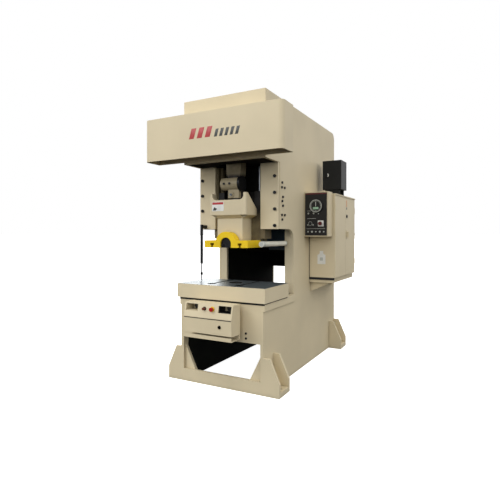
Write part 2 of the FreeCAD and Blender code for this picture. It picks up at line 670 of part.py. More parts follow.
# ---------------------------------------------------------------- connecting rod
def make_connecting_rod():
    """Rod with its big end on the crank pin, adjusting screw, nut boss, ball and seat."""
    pin = S.crank_height + S.throw
    owner = body("connecting_rod", at=(0, ram, 0))
    half = S.rod_half
    bush = S.crank_pin + S.run + S.rod_bush_wall
    boss_top = S.nut_low + S.nut_height
    pad(owner, "XZ", [(0, pin, S.big_end)], -half, half)
    wide = S.rod_waist + S.rod_taper
    narrow = S.rod_waist - S.rod_taper
    shank = [(-wide, pin - half), (-narrow, boss_top - S.overlap), (narrow, boss_top - S.overlap),
             (wide, pin - half)]
    pad(owner, "XZ", [shank], -half, half)
    pocket(owner, "XZ", [(0, pin, bush)], -half - 1, half + 1)
    pad(owner, "XY", [(0, 0, S.nut_radius)], S.nut_low, boss_top)
    screw_top = boss_top - S.nut_radius + S.overlap
    pocket(owner, "XY", [(0, 0, S.screw_radius + S.run)], S.nut_low - 1, boss_top - S.overlap)

    bearing = body("big_end_bush", at=(0, ram, pin))
    bore = S.crank_pin + S.run
    revolve(bearing, [(-half, bore), (half, bore), (half, bush), (-half, bush)])

    ball = doc.addObject("Part::Sphere", "ball")
    bind(ball, "Radius", S.ball_radius)
    place(ball, (0, ram, S.ball_height))
    stem = rod("stem", "Z", (0, ram, S.ball_height), S.screw_radius, screw_top - S.ball_height, keep=False)
    fuse("adjusting_screw", [ball, stem])
    make_worm_housing()
    rod("ball_seat", "Z", (0, ram, seat_floor), S.seat_radius, S.seat_height)


def make_worm_housing():
    """Die height gear case across the front of the rod, with its end cap and worm shaft."""
    axis_y = ram - S.drum_set
    axis_z = S.nut_low + S.drum_rise
    worm_z = S.nut_low + S.worm_rise
    nose = axis_y - S.worm_boss - S.worm_wall
    drum = rod("drum", "X", (-S.drum_left, axis_y, axis_z), S.drum_radius, S.drum_length, keep=False)
    leg = box("leg", (-S.leg_left, S.leg_right), (axis_y - S.worm_boss, axis_y + S.overlap),
              (S.nut_low + 2, axis_z - S.drum_radius / 2), keep=False)
    boss_length = S.worm_boss + S.overlap
    boss = rod("boss", "Y", (S.worm_x, nose, worm_z), S.worm_boss, boss_length, keep=False)
    whole = fuse("housing_blank", [drum, leg, boss], keep=False)
    bore_length = S.nut_height + S.drum_rise
    bore = rod("nut_bore", "Z", (0, ram, S.nut_low - 1), S.nut_radius, bore_length, keep=False)
    wide = S.nut_radius * 1.5
    flats = box("rod_flat", (-wide, wide), (ram - S.rod_half, ram + S.nut_radius),
                (S.nut_low, S.nut_low + 2 * S.nut_height), keep=False)
    shaft_hole = rod("shaft_hole", "Y", (S.worm_x, nose - 1, worm_z), S.worm_bar + S.run,
                     S.worm_length + 1, keep=False)
    seats = [rod("screw_seat", "Y", (x, axis_y - S.drum_radius - 1, axis_z), S.cover_head + 1,
                 S.seat_cut + 1, keep=False) for x in (-S.cover_left, S.cover_right)]
    cut("worm_housing", whole, [bore, flats, shaft_hole] + seats)
    rod("housing_end_cap", "X", (S.drum_length - S.drum_left, axis_y, axis_z), S.end_cap, S.cap_width)
    tip = nose - S.worm_proud
    shaft = rod("worm_shaft_bar", "Y", (S.worm_x, tip, worm_z), S.worm_bar,
                S.worm_proud + S.worm_length - S.worm_bar, keep=False)
    key = doc.addObject("Part::Prism", "key_socket")
    key.Polygon = 6
    key.Placement = FreeCAD.Placement(FreeCAD.Vector(), TURNS["Y"])
    bind(key, "Circumradius", S.worm_bar * 0.6)
    bind(key, "Height", S.worm_bar)
    place(key, (S.worm_x, tip - 1, worm_z))
    cut("worm_shaft", shaft, [key])
    seat_y = axis_y - S.drum_radius + S.seat_cut
    heads = [rod("cover_screw", "Y", (x, seat_y - S.cover_head, axis_z), S.cover_head, S.cover_head,
                 keep=False) for x in (-S.cover_left, S.cover_right)]
    group("housing_screws", heads)


# ---------------------------------------------------------------- crank train
def make_crankshaft():
    """One forging: three journals, two webs and the crank pin, along Y."""
    owner = body("crankshaft", at=(0, 0, S.crank_height))
    web_front = ram - S.rod_half - S.web_gap
    web_rear = ram + S.rod_half + S.web_gap
    tail = front + S.third_wall_set - S.end_set
    pad(owner, "XZ", [(0, 0, S.journal)], front + S.crown_set + S.end_set, web_front - S.web_width + 1)
    pad(owner, "XZ", [(0, 0, S.web_radius)], web_front - S.web_width, web_front)
    pad(owner, "XZ", [(0, S.throw, S.web_radius)], web_front - S.web_width, web_front)
    pad(owner, "XZ", [(0, S.throw, S.crank_pin)], web_front - 1, web_rear + 1)
    pad(owner, "XZ", [(0, 0, S.web_radius)], web_rear, web_rear + S.web_width)
    pad(owner, "XZ", [(0, S.throw, S.web_radius)], web_rear, web_rear + S.web_width)
    pad(owner, "XZ", [(0, 0, S.journal)], web_rear + S.web_width - 1, tail)


def make_bushes():
    """Plain bearings in the crown's walls."""
    collar = S.bush_collar
    middle = S.mid_wall_set - collar
    rear = S.rear_wall_set - collar
    end = S.end_set
    pinion_length = S.bearing_wall + 2 * end
    places = (("front_crank_bush", S.crown_set, S.front_bush, S.crank_height, S.journal, S.bush_wall),
              ("middle_crank_bush", middle, S.bearing_wall + 2 * collar, S.crank_height, S.journal,
               S.bush_wall),
              ("rear_crank_bush", rear, S.bearing_wall + 2 * collar - end, S.crank_height, S.journal,
               S.bush_wall),
              ("front_pinion_bush", S.rear_wall_set - end, pinion_length, pinion_height, S.pinion_shaft,
               S.pinion_bush_wall),
              ("rear_pinion_bush", S.third_wall_set - end, pinion_length, pinion_height, S.pinion_shaft,
               S.pinion_bush_wall))
    bushes = []
    for label, set_, length, height, shaft, wall in places:
        owner = body(label, at=(0, front + set_, height), keep=False)
        bushes.append(owner)
        bore = shaft + S.run
        revolve(owner, [(0, bore), (length, bore), (length, bore + wall), (0, bore + wall)])
    group("crankshaft_bushes", bushes[:3])
    group("pinion_shaft_bushes", bushes[3:])


def gear_outline(teeth):
    """Straight-flanked teeth of the sheet's module, as root, flank and tip corners."""
    corners = []
    pitch = teeth / 2 * S.gear_module
    root = pitch - 1.25 * S.gear_module
    tip = pitch + S.gear_module * 0.95
    for i in range(int(size(teeth).value)):
        middle = 2 * math.pi * i / size(teeth).value
        for share, radius in ((-0.33, root), (-0.13, tip), (0.13, tip), (0.33, root)):
            angle = middle + share * 2 * math.pi / size(teeth).value
            corners.append(FreeCAD.Vector(radius.value * math.sin(angle), 0, radius.value * math.cos(angle)))
    return corners


def make_gear(label, teeth, height, bore, shift):
    """A toothed wheel as one solid, turned half a tooth where shift says so."""
    corners = gear_outline(teeth)
    corners.append(corners[0])
    face = Part.Face(Part.Wire(Part.makePolygon(corners)))
    blank = face.extrude(FreeCAD.Vector(0, S.gear_width.value, 0))
    hole = Part.makeCylinder(bore.value, S.gear_width.value + 2, FreeCAD.Vector(0, -1, 0),
                             FreeCAD.Vector(0, 1, 0))
    item = doc.addObject("Part::Feature", label)
    item.Shape = blank.cut(hole)
    turn = 180 / size(teeth).value if shift else 180
    item.Placement = FreeCAD.Placement(FreeCAD.Vector(), FreeCAD.Rotation(FreeCAD.Vector(0, 1, 0), turn))
    place(item, (0, front + S.rear_wall_set + S.bearing_wall + S.gear_set, height))
    return item


def make_drive():
    """Gears, flywheel on the pinion shaft, clutch, belts and motor."""
    node(make_gear("main_gear", S.gear_teeth, S.crank_height, S.journal, False), "main_gear")
    wheel = front + S.wheel_set
    width = S.wheel_width
    low = front + S.rear_wall_set - S.end_set
    bar = rod("pinion_bar", "Y", (0, low, pinion_height), S.pinion_shaft,
              wheel + width + S.wheel_cap_width - low, keep=False)
    cap = rod("wheel_cap", "Y", (0, wheel + width + S.guide_gap, pinion_height), S.wheel_cap,
              S.wheel_cap_width, keep=False)
    teeth = make_gear("pinion_teeth", S.pinion_teeth, pinion_height, S.pinion_shaft - 1, True)
    fuse("pinion_shaft", [bar, cap, teeth])

    flywheel = body("flywheel", at=(0, wheel, pinion_height))
    rim = S.wheel_radius - S.rim_depth
    hub = S.pinion_shaft + S.hub_wall
    dish = width - S.wheel_dish
    bore = S.pinion_shaft + S.run
    revolve(flywheel, [(0, bore), (width, bore), (width, hub), (dish, hub), (dish, rim), (width, rim),
                       (width, S.wheel_radius), (0, S.wheel_radius)])
    clutch = body("clutch_brake", at=(0, front + S.third_wall_set + S.clutch_set, pinion_height))
    disc = S.clutch_radius
    step = S.clutch_length / 5
    long = S.clutch_length
    revolve(clutch, [(0, S.pinion_shaft), (long, S.pinion_shaft), (long, disc - 2 * step),
                     (long - step, disc), (step, disc), (0, disc - step)])
    make_motor(wheel)
    make_belts(wheel)


def make_motor(wheel):
    """Foot-mounted motor on a bracket between the side plates, shaft towards the back."""
    low = wheel - S.motor_length - S.motor_gap
    barrel = rod("barrel", "Y", (0, low, S.motor_height), S.motor_radius, S.motor_length, keep=False)
    under = S.motor_height - S.motor_radius - S.motor_foot
    foot_half = S.motor_radius * 0.8
    foot = box("motor_foot_block", (-foot_half, foot_half),
               (low + S.motor_gap, low + S.motor_length - S.motor_gap), (under, S.motor_height), keep=False)
    start = low + 2 * S.motor_gap
    half = S.terminal_width / 2
    terminal = box("terminal_box", (0, S.motor_radius + S.terminal_reach), (start, start + S.terminal_width),
                   (S.motor_height - half, S.motor_height + half), keep=False)
    fuse("motor", [barrel, foot, terminal])
    box("motor_bracket", (-inner, inner), (low, low + S.motor_length), (under - S.bracket_thick, under))
    edge = S.motor_pulley_edge
    pulley = rod("pulley_rim", "Y", (0, wheel + edge, S.motor_height), S.pulley_radius,
                 S.wheel_width - 2 * edge, keep=False)
    nose = rod("motor_shaft", "Y", (0, low + S.motor_length + S.guide_gap, S.motor_height),
               S.motor_shaft_radius, S.motor_gap + 2 * edge, keep=False)
    fuse("motor_pulley", [pulley, nose])


def make_belts(wheel):
    """Four flat loops round flywheel and pulley."""
    loops = []
    for i in range(4):
        low = wheel + S.belt_edge + i * S.belt_pitch
        loops.append(belt_loop("belt_%d" % i, low))
    group("drive_belts", loops)


def belt_loop(name, low):
    """One belt: the band outside both wheels, less what they fill."""
    gap = S.guide_gap
    thick = S.belt_thick
    outer = belt_shape(S.wheel_radius + gap + thick, S.pulley_radius + gap + thick, S.belt_width.value)
    inside = belt_shape(S.wheel_radius + gap, S.pulley_radius + gap, S.belt_width.value)
    item = doc.addObject("Part::Feature", name)
    item.Shape = outer.cut(inside)
    place(item, (0, low, 0))
    return item


def belt_shape(big, small, width):
    """The hull of two circles, as a prism along Y."""
    top = pinion_height.value
    bottom = S.motor_height.value
    lean = math.asin((big.value - small.value) / (top - bottom))
    points = []
    for sign in (1, -1):
        for height, radius in ((top, big.value), (bottom, small.value)):
            points.append(FreeCAD.Vector(sign * radius * math.cos(lean), 0,
                                         height + radius * math.sin(lean) * -1))
    band = Part.Face(Part.makePolygon([points[0], points[1], points[3], points[2], points[0]]))
    forward = FreeCAD.Vector(0, 1, 0)
    solid = band.extrude(forward * width)
    discs = [Part.makeCylinder(radius, width, FreeCAD.Vector(0, 0, height), forward)
             for height, radius in ((top, big.value), (bottom, small.value))]
    return solid.fuse(discs).removeSplitter()


def make_counterbalance():
    """Two air cylinders on the crown floor whose rods lift the slide's weight."""
    cylinders = []
    rods = []
    low = S.crown_under + S.crown_floor
    for sign in (-1, 1):
        x = sign * S.lifter_x
        y = front + S.lifter_set
        tube = rod("tube", "Z", (x, y, low), S.lifter_radius, S.lifter_height, keep=False)
        deep = S.lifter_height - S.lifter_end + 1
        hollow = rod("bore", "Z", (x, y, low - 1), S.lifter_bore, deep, keep=False)
        cylinders.append(cut("cylinder", tube, [hollow], keep=False))
        top = low + S.piston_rise
        bar = rod("bar", "Z", (x, y, S.slide_top), S.lifter_rod, top + 1 - S.slide_top, keep=False)
        piston = rod("piston", "Z", (x, y, top), S.lifter_bore - S.run, S.piston_height, keep=False)
        rods.append(fuse("piston_rod", [bar, piston], keep=False))
    group("counterbalance_cylinders", cylinders)
    group("counterbalance_rods", rods)


# ---------------------------------------------------------------- electric boxes
def shell(name, x, y, z, wall, open_axis, open_side):
    """A sheet box open on one side."""
    spans = [list(x), list(y), list(z)]
    hollow = [[low + wall, high - wall] for low, high in spans]
    hollow[open_axis][open_side] = hollow[open_axis][open_side] + (2 * wall if open_side else -2 * wall)
    outer = box(name + "_outer", *spans, keep=False)
    inside = box(name + "_hollow", *hollow, keep=False)
    return outer, inside


def make_cabinet():
    """Electric cabinet on the right side plate: shell on struts, and two door leaves."""
    x0 = S.body_half
    x1 = S.body_half + S.cab_reach - S.door_thick
    y0 = front + S.cab_set
    y1 = y0 + S.cab_depth
    outer, inside = shell("cabinet", (x0, x1), (y0, y1), (S.cab_low, S.cab_high), S.sheet, 0, 1)
    low = S.cab_low - S.shelf_height
    shelf = box("cabinet_shelf", (x0, x1 - S.shelf_step), (y0 + S.shelf_step, y1 - S.shelf_step),
                (low, S.cab_low), keep=False)
    lip = box("rain_lip", (x0, x1 + S.door_thick + S.lip_reach), (y0, y1 + S.lip_reach),
              (S.cab_high, S.cab_high + S.lip_height), keep=False)
    struts = []
    tip = x1 - S.strut_short
    corners = [(x0, low), (tip, low), (tip, low - S.lip_height), (x0, low - S.strut_drop)]
    near = y0 + S.strut_set
    far = y1 - S.strut_set - S.lip_height
    for strut_y in (near, far):
        strut = body("cabinet_strut", keep=False)
        pad(strut, "XZ", [corners], strut_y, strut_y + S.lip_height)
        struts.append(strut)
    whole = fuse("cabinet_blank", [outer, shelf, lip] + struts, keep=False)
    cut("cabinet_shell", whole, [inside])
    middle = (y0 + y1) / 2
    face = x1 + S.door_thick
    leaf_x = (x1 + S.guide_gap, face)
    leaf_z = (S.cab_low, S.cab_high - S.guide_gap)
    front_leaf = box("front_leaf", leaf_x, (y0, middle - 1), leaf_z, keep=False)
    stile = box("door_stile", (x1 + S.stile_set, face - S.stile_set), (middle - 2, middle - S.stile_gap),
                (S.cab_low + S.stile_short, S.cab_high - S.stile_short), keep=False)
    fuse("cabinet_front_door", [front_leaf, stile])
    rear_leaf = box("rear_leaf", leaf_x, (middle + 1, y1), leaf_z, keep=False)
    hand = middle + S.handle_set
    handle_z = (S.handle_low, S.handle_low + S.handle_height)
    rim = S.handle_rim
    plate = box("handle_plate", (face - 1, face + rim), (hand - S.handle_half, hand + S.handle_half),
                handle_z, keep=False)
    grip = box("handle_grip", (face - 1, face + S.handle_reach),
               (hand - S.handle_half + rim, hand + S.handle_half - rim),
               (handle_z[0] + 2 * rim, handle_z[1] - 2 * rim), keep=False)
    fuse("cabinet_rear_door", [rear_leaf, plate, grip])


def make_control_box():
    """Press control box ahead of the cabinet, with its black fascia and controls."""
    x0 = S.body_half
    x1 = S.body_half + S.ctl_reach
    y1 = front + S.cab_set
    y0 = y1 - S.ctl_depth
    case = box("control_case", (x0, x1), (y0, y1), (S.ctl_low, S.ctl_high), keep=False)
    stop_x = x0 + S.stop_x
    knob_x = x0 + S.knob_x
    row_z = S.ctl_low + S.control_rise
    face = y0 - S.fascia_thick
    stop_face = face - S.stop_plate_thick
    deep = S.button_depth + S.button_travel + 1

    places = (("stop", stop_x, S.stop_stem + S.run), ("knob", knob_x, S.knob_stem + S.run))
    wells = [rod(name + "_well", "Y", (x, face - deep, row_z), radius, 2 * deep, keep=False)
             for name, x, radius in places]
    cut("control_box", case, wells)
    rim = S.fascia_rim
    panel = box("fascia_sheet", (x0 + rim, x1 - rim), (face, y0), (S.ctl_low + rim, S.ctl_high - rim),
                keep=False)
    ring = rod("dial", "Y", (x0 + S.dial_x, y0 - S.dial_reach, S.ctl_high - S.dial_drop), S.dial_radius,
               S.dial_reach - 1, keep=False)
    half = S.stop_plate / 2
    plate = box("stop_plate_sheet", (stop_x - half, stop_x + half), (stop_face, y0),
                (row_z - half, row_z + half), keep=False)
    solid = fuse("fascia_blank", [panel, ring, plate], keep=False)
    passes = [rod(name + "_pass", "Y", (x, face - deep, row_z), radius, 2 * deep, keep=False)
              for name, x, radius in places]
    cut("control_fascia", solid, passes)
    push_button("control_stop_button", stop_x, stop_face, row_z, S.stop_head, S.stop_stem)
    stem = rod("knob_bar", "Y", (knob_x, face - S.knob_rise, row_z), S.knob_stem,
               S.button_depth + S.knob_rise, keep=False)
    disc = rod("knob_disc", "Y", (knob_x, face - S.knob_rise - S.guide_gap, row_z), S.knob_radius,
               S.knob_rise, keep=False)
    reach = S.knob_radius - 1
    grip = box("knob_grip", (knob_x - S.knob_bar / 2, knob_x + S.knob_bar / 2),
               (face - 2 * S.knob_rise, face - S.guide_gap), (row_z - reach, row_z + reach), keep=False)
    fuse("mode_selector", [stem, disc, grip])


def push_button(label, x, face, z, radius, stem):
    """A push button: its head stands off a face by its travel and more, its stem runs behind."""
    proud = S.button_head + S.button_travel * 2
    bar = rod(label + "_stem", "Y", (x, face - proud + 1, z), stem, S.button_depth + proud - 1, keep=False)
    head = rod(label + "_head", "Y", (x, face - proud, z), radius, S.button_head, keep=False)
    return fuse(label, [bar, head])


def make_operator_box():
    """Two-hand control box on the bed front: folded case, door and hooded palm buttons."""
    near = front - S.op_front
    far = front - S.op_back
    case = body("operator_box")
    seam = S.op_fold - S.op_head
    lean_back = far - S.op_roof
    side = [(near + S.op_door, S.op_low), (far, S.op_low), (far, S.op_high), (lean_back, S.op_high),
            (near, S.op_fold), (near, seam), (near + S.op_door, seam)]
    pad(case, "YZ", [side], -S.op_half, S.op_half)
    wall = S.op_wall
    rim = S.op_low - 2 * wall
    back_in = far - 3 * wall
    tray = [(near, S.op_tray), (far, S.op_tray), (far, S.op_low + 1), (back_in, S.op_low + 1),
            (back_in, S.op_tray + wall), (near + wall, S.op_tray + wall), (near + wall, rim), (near, rim)]
    pad(case, "YZ", [tray], -S.op_half, S.op_half)
    hollow = rectangle(-S.op_half + wall, S.op_low + wall, S.op_half - wall, seam - wall)
    pocket(case, "XZ", [hollow], near + S.op_door - 1, far - wall)
    inset = S.op_mount_inset
    mount = rectangle(-S.op_half + inset, S.op_low + wall, S.op_half - inset, S.bed_under - wall)
    pad(case, "XZ", [mount], far - 1, front)
    palm_back = far - 3 * wall
    stem = S.palm_stem
    for sign in (-1, 1):
        middle = sign * S.palm_x
        recess = [(near - 1, S.palm_ceiling), (palm_back, S.palm_ceiling), (palm_back, S.palm_floor),
                  (near - 1, S.palm_floor)]
        low = middle - S.palm_recess / 2
        pocket(case, "YZ", [recess], low, low + S.palm_recess)
        pocket(case, "XZ", [(middle, S.palm_height, stem + S.run)], palm_back - 1, far + 1)
    lean = (lean_back - near) / (S.op_high - S.op_fold)
    stop_face = near + (S.op_row - S.op_fold) * lean
    small = S.op_stem + S.run
    for x in (S.op_stop_x, -S.op_cycle_x):
        pocket(case, "XZ", [(x, S.op_row, small)], near - 1, stop_face + S.op_stem_deep)
    door = body("operator_box_door")
    leaf = rectangle(-S.op_half, S.op_low + wall, S.op_half, seam - S.guide_gap)
    pad(door, "XZ", [leaf], near, near + S.op_door - S.guide_gap)
    pad(door, "XZ", [(S.op_lock_x, S.op_lock_z, S.op_lock)], near - S.op_lock_reach, near + 1)
    for label, sign in (("left_palm_button", -1), ("right_palm_button", 1)):
        x = sign * S.palm_x
        face = palm_back - S.palm_proud
        deep = S.palm_proud + 2 * wall
        bar = rod(label + "_stem", "Y", (x, face + 1, S.palm_height), stem, deep, keep=False)
        head = rod(label + "_head", "Y", (x, face, S.palm_height), S.palm_radius, S.palm_head, keep=False)
        fuse(label, [bar, head])
    for label, x, radius in (("operator_stop_button", S.op_stop_x, S.op_stop),
                             ("cycle_button", -S.op_cycle_x, S.op_cycle)):
        face = stop_face - S.op_button_proud
        bar = rod(label + "_stem", "Y", (x, face + 1, S.op_row), S.op_stem, S.op_stem_deep, keep=False)
        head = rod(label + "_head", "Y", (x, face, S.op_row), radius, S.button_head, keep=False)
        fuse(label, [bar, head])


def make_side_fittings():
    """Valve box above the cabinet, work lamp in the throat and the guard post."""
    x0 = S.body_half + S.vb_out
    x1 = x0 + S.vb_reach
    y0 = front + S.vb_set
    y1 = y0 + S.vb_depth
    floor = S.cab_high + S.lip_height
    leg_y = (y0 + S.vb_leg_set, y1 - S.vb_leg_set - S.vb_leg)
    leg_x = (x0 + S.vb_leg_set, x1 - S.vb_leg_set)
    legs = [box("valve_leg", leg_x, (y, y + S.vb_leg), (floor, S.vb_low + 1), keep=False) for y in leg_y]
    split = y0 + S.vb_door
    outer, inside = shell("valve_box", (x0, x1), (split, y1), (S.vb_low, S.vb_high), S.sheet, 1, 0)
    blank = fuse("valve_box_blank", [outer] + legs, keep=False)
    cut("valve_box", blank, [inside])
    leaf = box("valve_leaf", (x0, x1), (y0, split - S.guide_gap), (S.vb_low, S.vb_high), keep=False)
    knob = rod("valve_lock", "Y", (x0 + S.vb_lock_x, y0 - S.vb_lock, S.vb_low + S.vb_lock_z), S.vb_lock,
               S.vb_lock + 1, keep=False)
    fuse("valve_box_door", [leaf, knob])

    lamp_x = inner - S.lamp_out
    seat = front + S.throat_set
    tube_low = front + S.lamp_set
    stalk_low = seat - S.lamp_stalk_length
    tube = rod("lamp_tube", "Y", (lamp_x, tube_low, S.lamp_height), S.lamp_radius, stalk_low - tube_low,
               keep=False)
    stalk = rod("lamp_stalk", "Y", (lamp_x, stalk_low - 1, S.lamp_height), S.lamp_stalk,
                S.lamp_stalk_length + 1, keep=False)
    fuse("work_lamp", [tube, stalk])

    post_y = front + S.post_set
    foot = S.bed_top + S.bolster_height + S.post_gap
    tube_foot = foot + S.post_thin_length
    top = S.throat_top + S.post_over
    thin = rod("post_foot", "Z", (-S.post_x, post_y, foot), S.post_thin, S.post_thin_length + 1, keep=False)
    collar = rod("post_collar", "Z", (-S.post_x, post_y, foot + S.post_collar_rise), S.post_collar,
                 2 * S.post_collar, keep=False)
    thick = rod("post_tube", "Z", (-S.post_x, post_y, tube_foot), S.post_thick, top - tube_foot, keep=False)
    half = S.post_clip / 2
    clip_top = top - S.post_thin
    clip = box("post_clip_block", (-S.post_x - half, half - S.post_x), (post_y, front + S.upright_set),
               (clip_top - S.post_clip, clip_top), keep=False)
    fuse("guard_post", [thin, collar, thick, clip])


def main():
    for side, sign in SIDES:
        make_side_plate(side, sign)
    reach = back - S.foot_length / 2
    feet = [make_foot(end, side, along, 180 if side == "left" else 0)
            for side, _ in SIDES for end, along in (("front", -reach), ("rear", reach))]
    group("floor_feet", feet)
    make_front_frame()
    make_crown()
    make_hood()
    make_bolster()
    make_guides()
    make_slide()
    make_shank_clamp()
    make_connecting_rod()
    make_crankshaft()
    make_bushes()
    make_drive()
    make_counterbalance()
    make_cabinet()
    make_control_box()
    make_operator_box()
    make_side_fittings()
    doc.recompute()
    check_and_write()


def check_and_write():
    for item in doc.Objects:
        if "Invalid" in item.State or "Error" in item.State:
            raise RuntimeError("%s failed: %s" % (item.Name, item.State))
    for item in nodes:
        if item.Shape.isNull() or not item.Shape.isValid():
            raise RuntimeError("%s has no valid shape" % item.Label)
    os.makedirs("parts", exist_ok=True)
    for item in nodes:
        item.Shape.exportStep("parts/%s.step" % item.Label)
        print(item.Label, len(item.Shape.Solids), round(item.Shape.Volume / 1e6, 3), "litres")


main()
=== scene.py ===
"""Looks of an open-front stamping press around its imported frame. Metres, +Z up, +Y to the back."""
import math

import bmesh
import bpy
import numpy as np
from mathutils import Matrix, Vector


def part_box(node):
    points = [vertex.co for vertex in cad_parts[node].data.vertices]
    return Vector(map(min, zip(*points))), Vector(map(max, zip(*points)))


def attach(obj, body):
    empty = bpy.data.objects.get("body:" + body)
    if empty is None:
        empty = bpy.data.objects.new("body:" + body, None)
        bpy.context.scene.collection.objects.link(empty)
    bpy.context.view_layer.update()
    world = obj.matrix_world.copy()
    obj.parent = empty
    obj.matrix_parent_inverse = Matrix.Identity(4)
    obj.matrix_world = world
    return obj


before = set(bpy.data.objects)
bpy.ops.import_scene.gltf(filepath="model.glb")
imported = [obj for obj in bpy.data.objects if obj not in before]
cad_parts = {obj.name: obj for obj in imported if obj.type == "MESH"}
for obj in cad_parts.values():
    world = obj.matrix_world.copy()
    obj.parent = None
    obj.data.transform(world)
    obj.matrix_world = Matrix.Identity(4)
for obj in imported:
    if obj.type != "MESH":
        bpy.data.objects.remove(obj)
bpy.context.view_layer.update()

MM = 0.001


# ---------------------------------------------------------------- frame places
def low(node):
    return np.array(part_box(node)[0], dtype=float)


def high(node):
    return np.array(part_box(node)[1], dtype=float)


def front_of(node):
    return float(low(node)[1])


def back_of(node):
    return float(high(node)[1])


def foot_of(node):
    return float(low(node)[2])


def top_of(node):
    return float(high(node)[2])


def centre_of(node):
    return (low(node) + high(node)) / 2


# ---------------------------------------------------------------- meshes
def mesh_piece(name, vertices, faces, material, body, slot):
    """One finished piece: its mesh in place, its material and its body; its record slot is not used."""
    mesh = bpy.data.meshes.new(name)
    mesh.from_pydata(np.asarray(vertices, dtype=float).tolist(), [], faces)
    mesh.validate()
    outward(mesh)
    mesh.polygons.foreach_set("use_smooth", [True] * len(mesh.polygons))
    piece = bpy.data.objects.new(name, mesh)
    bpy.context.scene.collection.objects.link(piece)
    mesh.materials.append(material)
    soften(mesh)
    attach(piece, body)
    return piece


def outward(mesh):
    """Joins the points that meet at seams, and turns every face of the closed shells outwards."""
    shell = bmesh.new()
    shell.from_mesh(mesh)
    bmesh.ops.remove_doubles(shell, verts=shell.verts, dist=1e-6)
    bmesh.ops.recalc_face_normals(shell, faces=shell.faces)
    shell.to_mesh(mesh)
    shell.free()
    mesh.update()


def soften(mesh, angle=35):
    """Edges sharper than the angle stay crisp; the rest shade smoothly."""
    mesh.set_sharp_from_angle(angle=math.radians(angle))


def merge(parts):
    """Several (vertices, faces) sets as one."""
    vertices = []
    faces = []
    for points, quads in parts:
        start = sum(len(v) for v in vertices)
        vertices.append(np.asarray(points, dtype=float).reshape(-1, 3))
        faces.extend([[start + i for i in face] for face in quads])
    return np.concatenate(vertices), faces


def loft(rings, caps=(True, True)):
    """Rings of n points joined ring to ring with quads, each end closed by its own ring."""
    rings = np.asarray(rings, dtype=float)
    count, n = rings.shape[:2]
    row = np.arange(n)
    step = np.roll(row, -1)
    base = (np.arange(count - 1) * n)[:, None]
    quads = np.stack([base + row, base + step, base + n + step, base + n + row], axis=-1)
    faces = quads.reshape(-1, 4).tolist()
    if caps[0]:
        faces.append(row[::-1].tolist())
    if caps[1]:
        faces.append((row + (count - 1) * n).tolist())
    return rings.reshape(-1, 3), faces


def axes_of(axis):
    """Two directions across an axis and the axis itself, right-handed."""
    along = {"X": (1, 0, 0), "Y": (0, 1, 0), "Z": (0, 0, 1)}[axis]
    across = {"X": (0, 1, 0), "Y": (0, 0, 1), "Z": (1, 0, 0)}[axis]
    up = np.cross(along, across)
    return np.array(across, float), np.array(up, float), np.array(along, float)


def rounded(corners, radii, steps=6):
    """A closed outline whose corners are arcs: each arc is centred where the two sides, moved in
    by the radius, cross, and runs from one side's foot to the other's."""
    corners = np.asarray(corners, dtype=float)
    radii = np.broadcast_to(radii, len(corners))
    out = []
    for i, (corner, radius) in enumerate(zip(corners, radii)):
        before = corners[i - 1] - corner
        after = corners[(i + 1) % len(corners)] - corner
        before /= np.linalg.norm(before)
        after /= np.linalg.norm(after)
        half = math.acos(max(-1, min(1, before @ after))) / 2
        if radius <= 0 or half > 1.56:
            out.append(corner[None])
            continue
        start = corner + before * radius / math.tan(half)
        end = corner + after * radius / math.tan(half)
        centre = corner + (before + after) / np.linalg.norm(before + after) * radius / math.sin(half)
        a0 = math.atan2(*(start - centre)[::-1])
        turn = math.atan2(*(end - centre)[::-1]) - a0
        turn = (turn + math.pi) % (2 * math.pi) - math.pi
        angles = a0 + turn * np.linspace(0, 1, steps + 1)
        out.append(centre + radius * np.stack([np.cos(angles), np.sin(angles)], axis=1))
    return np.concatenate(out)


def inset(outline, distance):
    """The outline moved inwards by a distance, along the mean normal of its two sides."""
    before = outline - np.roll(outline, 1, axis=0)
    after = np.roll(outline, -1, axis=0) - outline
    normals = []
    for side in (before, after):
        length = np.maximum(np.linalg.norm(side, axis=1, keepdims=True), 1e-9)
        normals.append(np.stack([-side[:, 1], side[:, 0]], axis=1) / length)
    mean = normals[0] + normals[1]
    square = np.maximum((mean * mean).sum(axis=1, keepdims=True), 0.5)
    return outline + 2 * mean / square * distance


def slab(outline, axis, start, end, edge=0.0015, steps=3):
    """A plate: its outline carried along an axis, with both rims rounded by quarter circles.
    A rim ring at angle a is the outline moved in by edge (1 - sin a) at height edge (1 - cos a)."""
    across, up, along = axes_of(axis)
    outline = np.asarray(outline, dtype=float)
    area = np.sum(outline[:, 0] * np.roll(outline[:, 1], -1) - np.roll(outline[:, 0], -1) * outline[:, 1])
    if area < 0:
        outline = outline[::-1]
    angles = np.linspace(0, math.pi / 2, steps + 1)
    rings = []
    for a in angles:
        rings.append((inset(outline, edge * (1 - math.sin(a))), start + edge * (1 - math.cos(a))))
    for a in angles[::-1]:
        rings.append((inset(outline, edge * (1 - math.sin(a))), end - edge * (1 - math.cos(a))))
    rings = [flat[:, :1] * across + flat[:, 1:] * up + level * along for flat, level in rings]
    return loft(rings)


def plate(axis, lows, highs, radius=0.0, edge=0.0015, steps=5):
    """A block between two corners, its four long edges rounded by the radius and its rims by edge."""
    order = {"X": (1, 2, 0), "Y": (2, 0, 1), "Z": (0, 1, 2)}[axis]
    u, v, w = order
    corners = [(lows[u], lows[v]), (highs[u], lows[v]), (highs[u], highs[v]), (lows[u], highs[v])]
    return slab(rounded(corners, radius, steps), axis, lows[w], highs[w], edge)


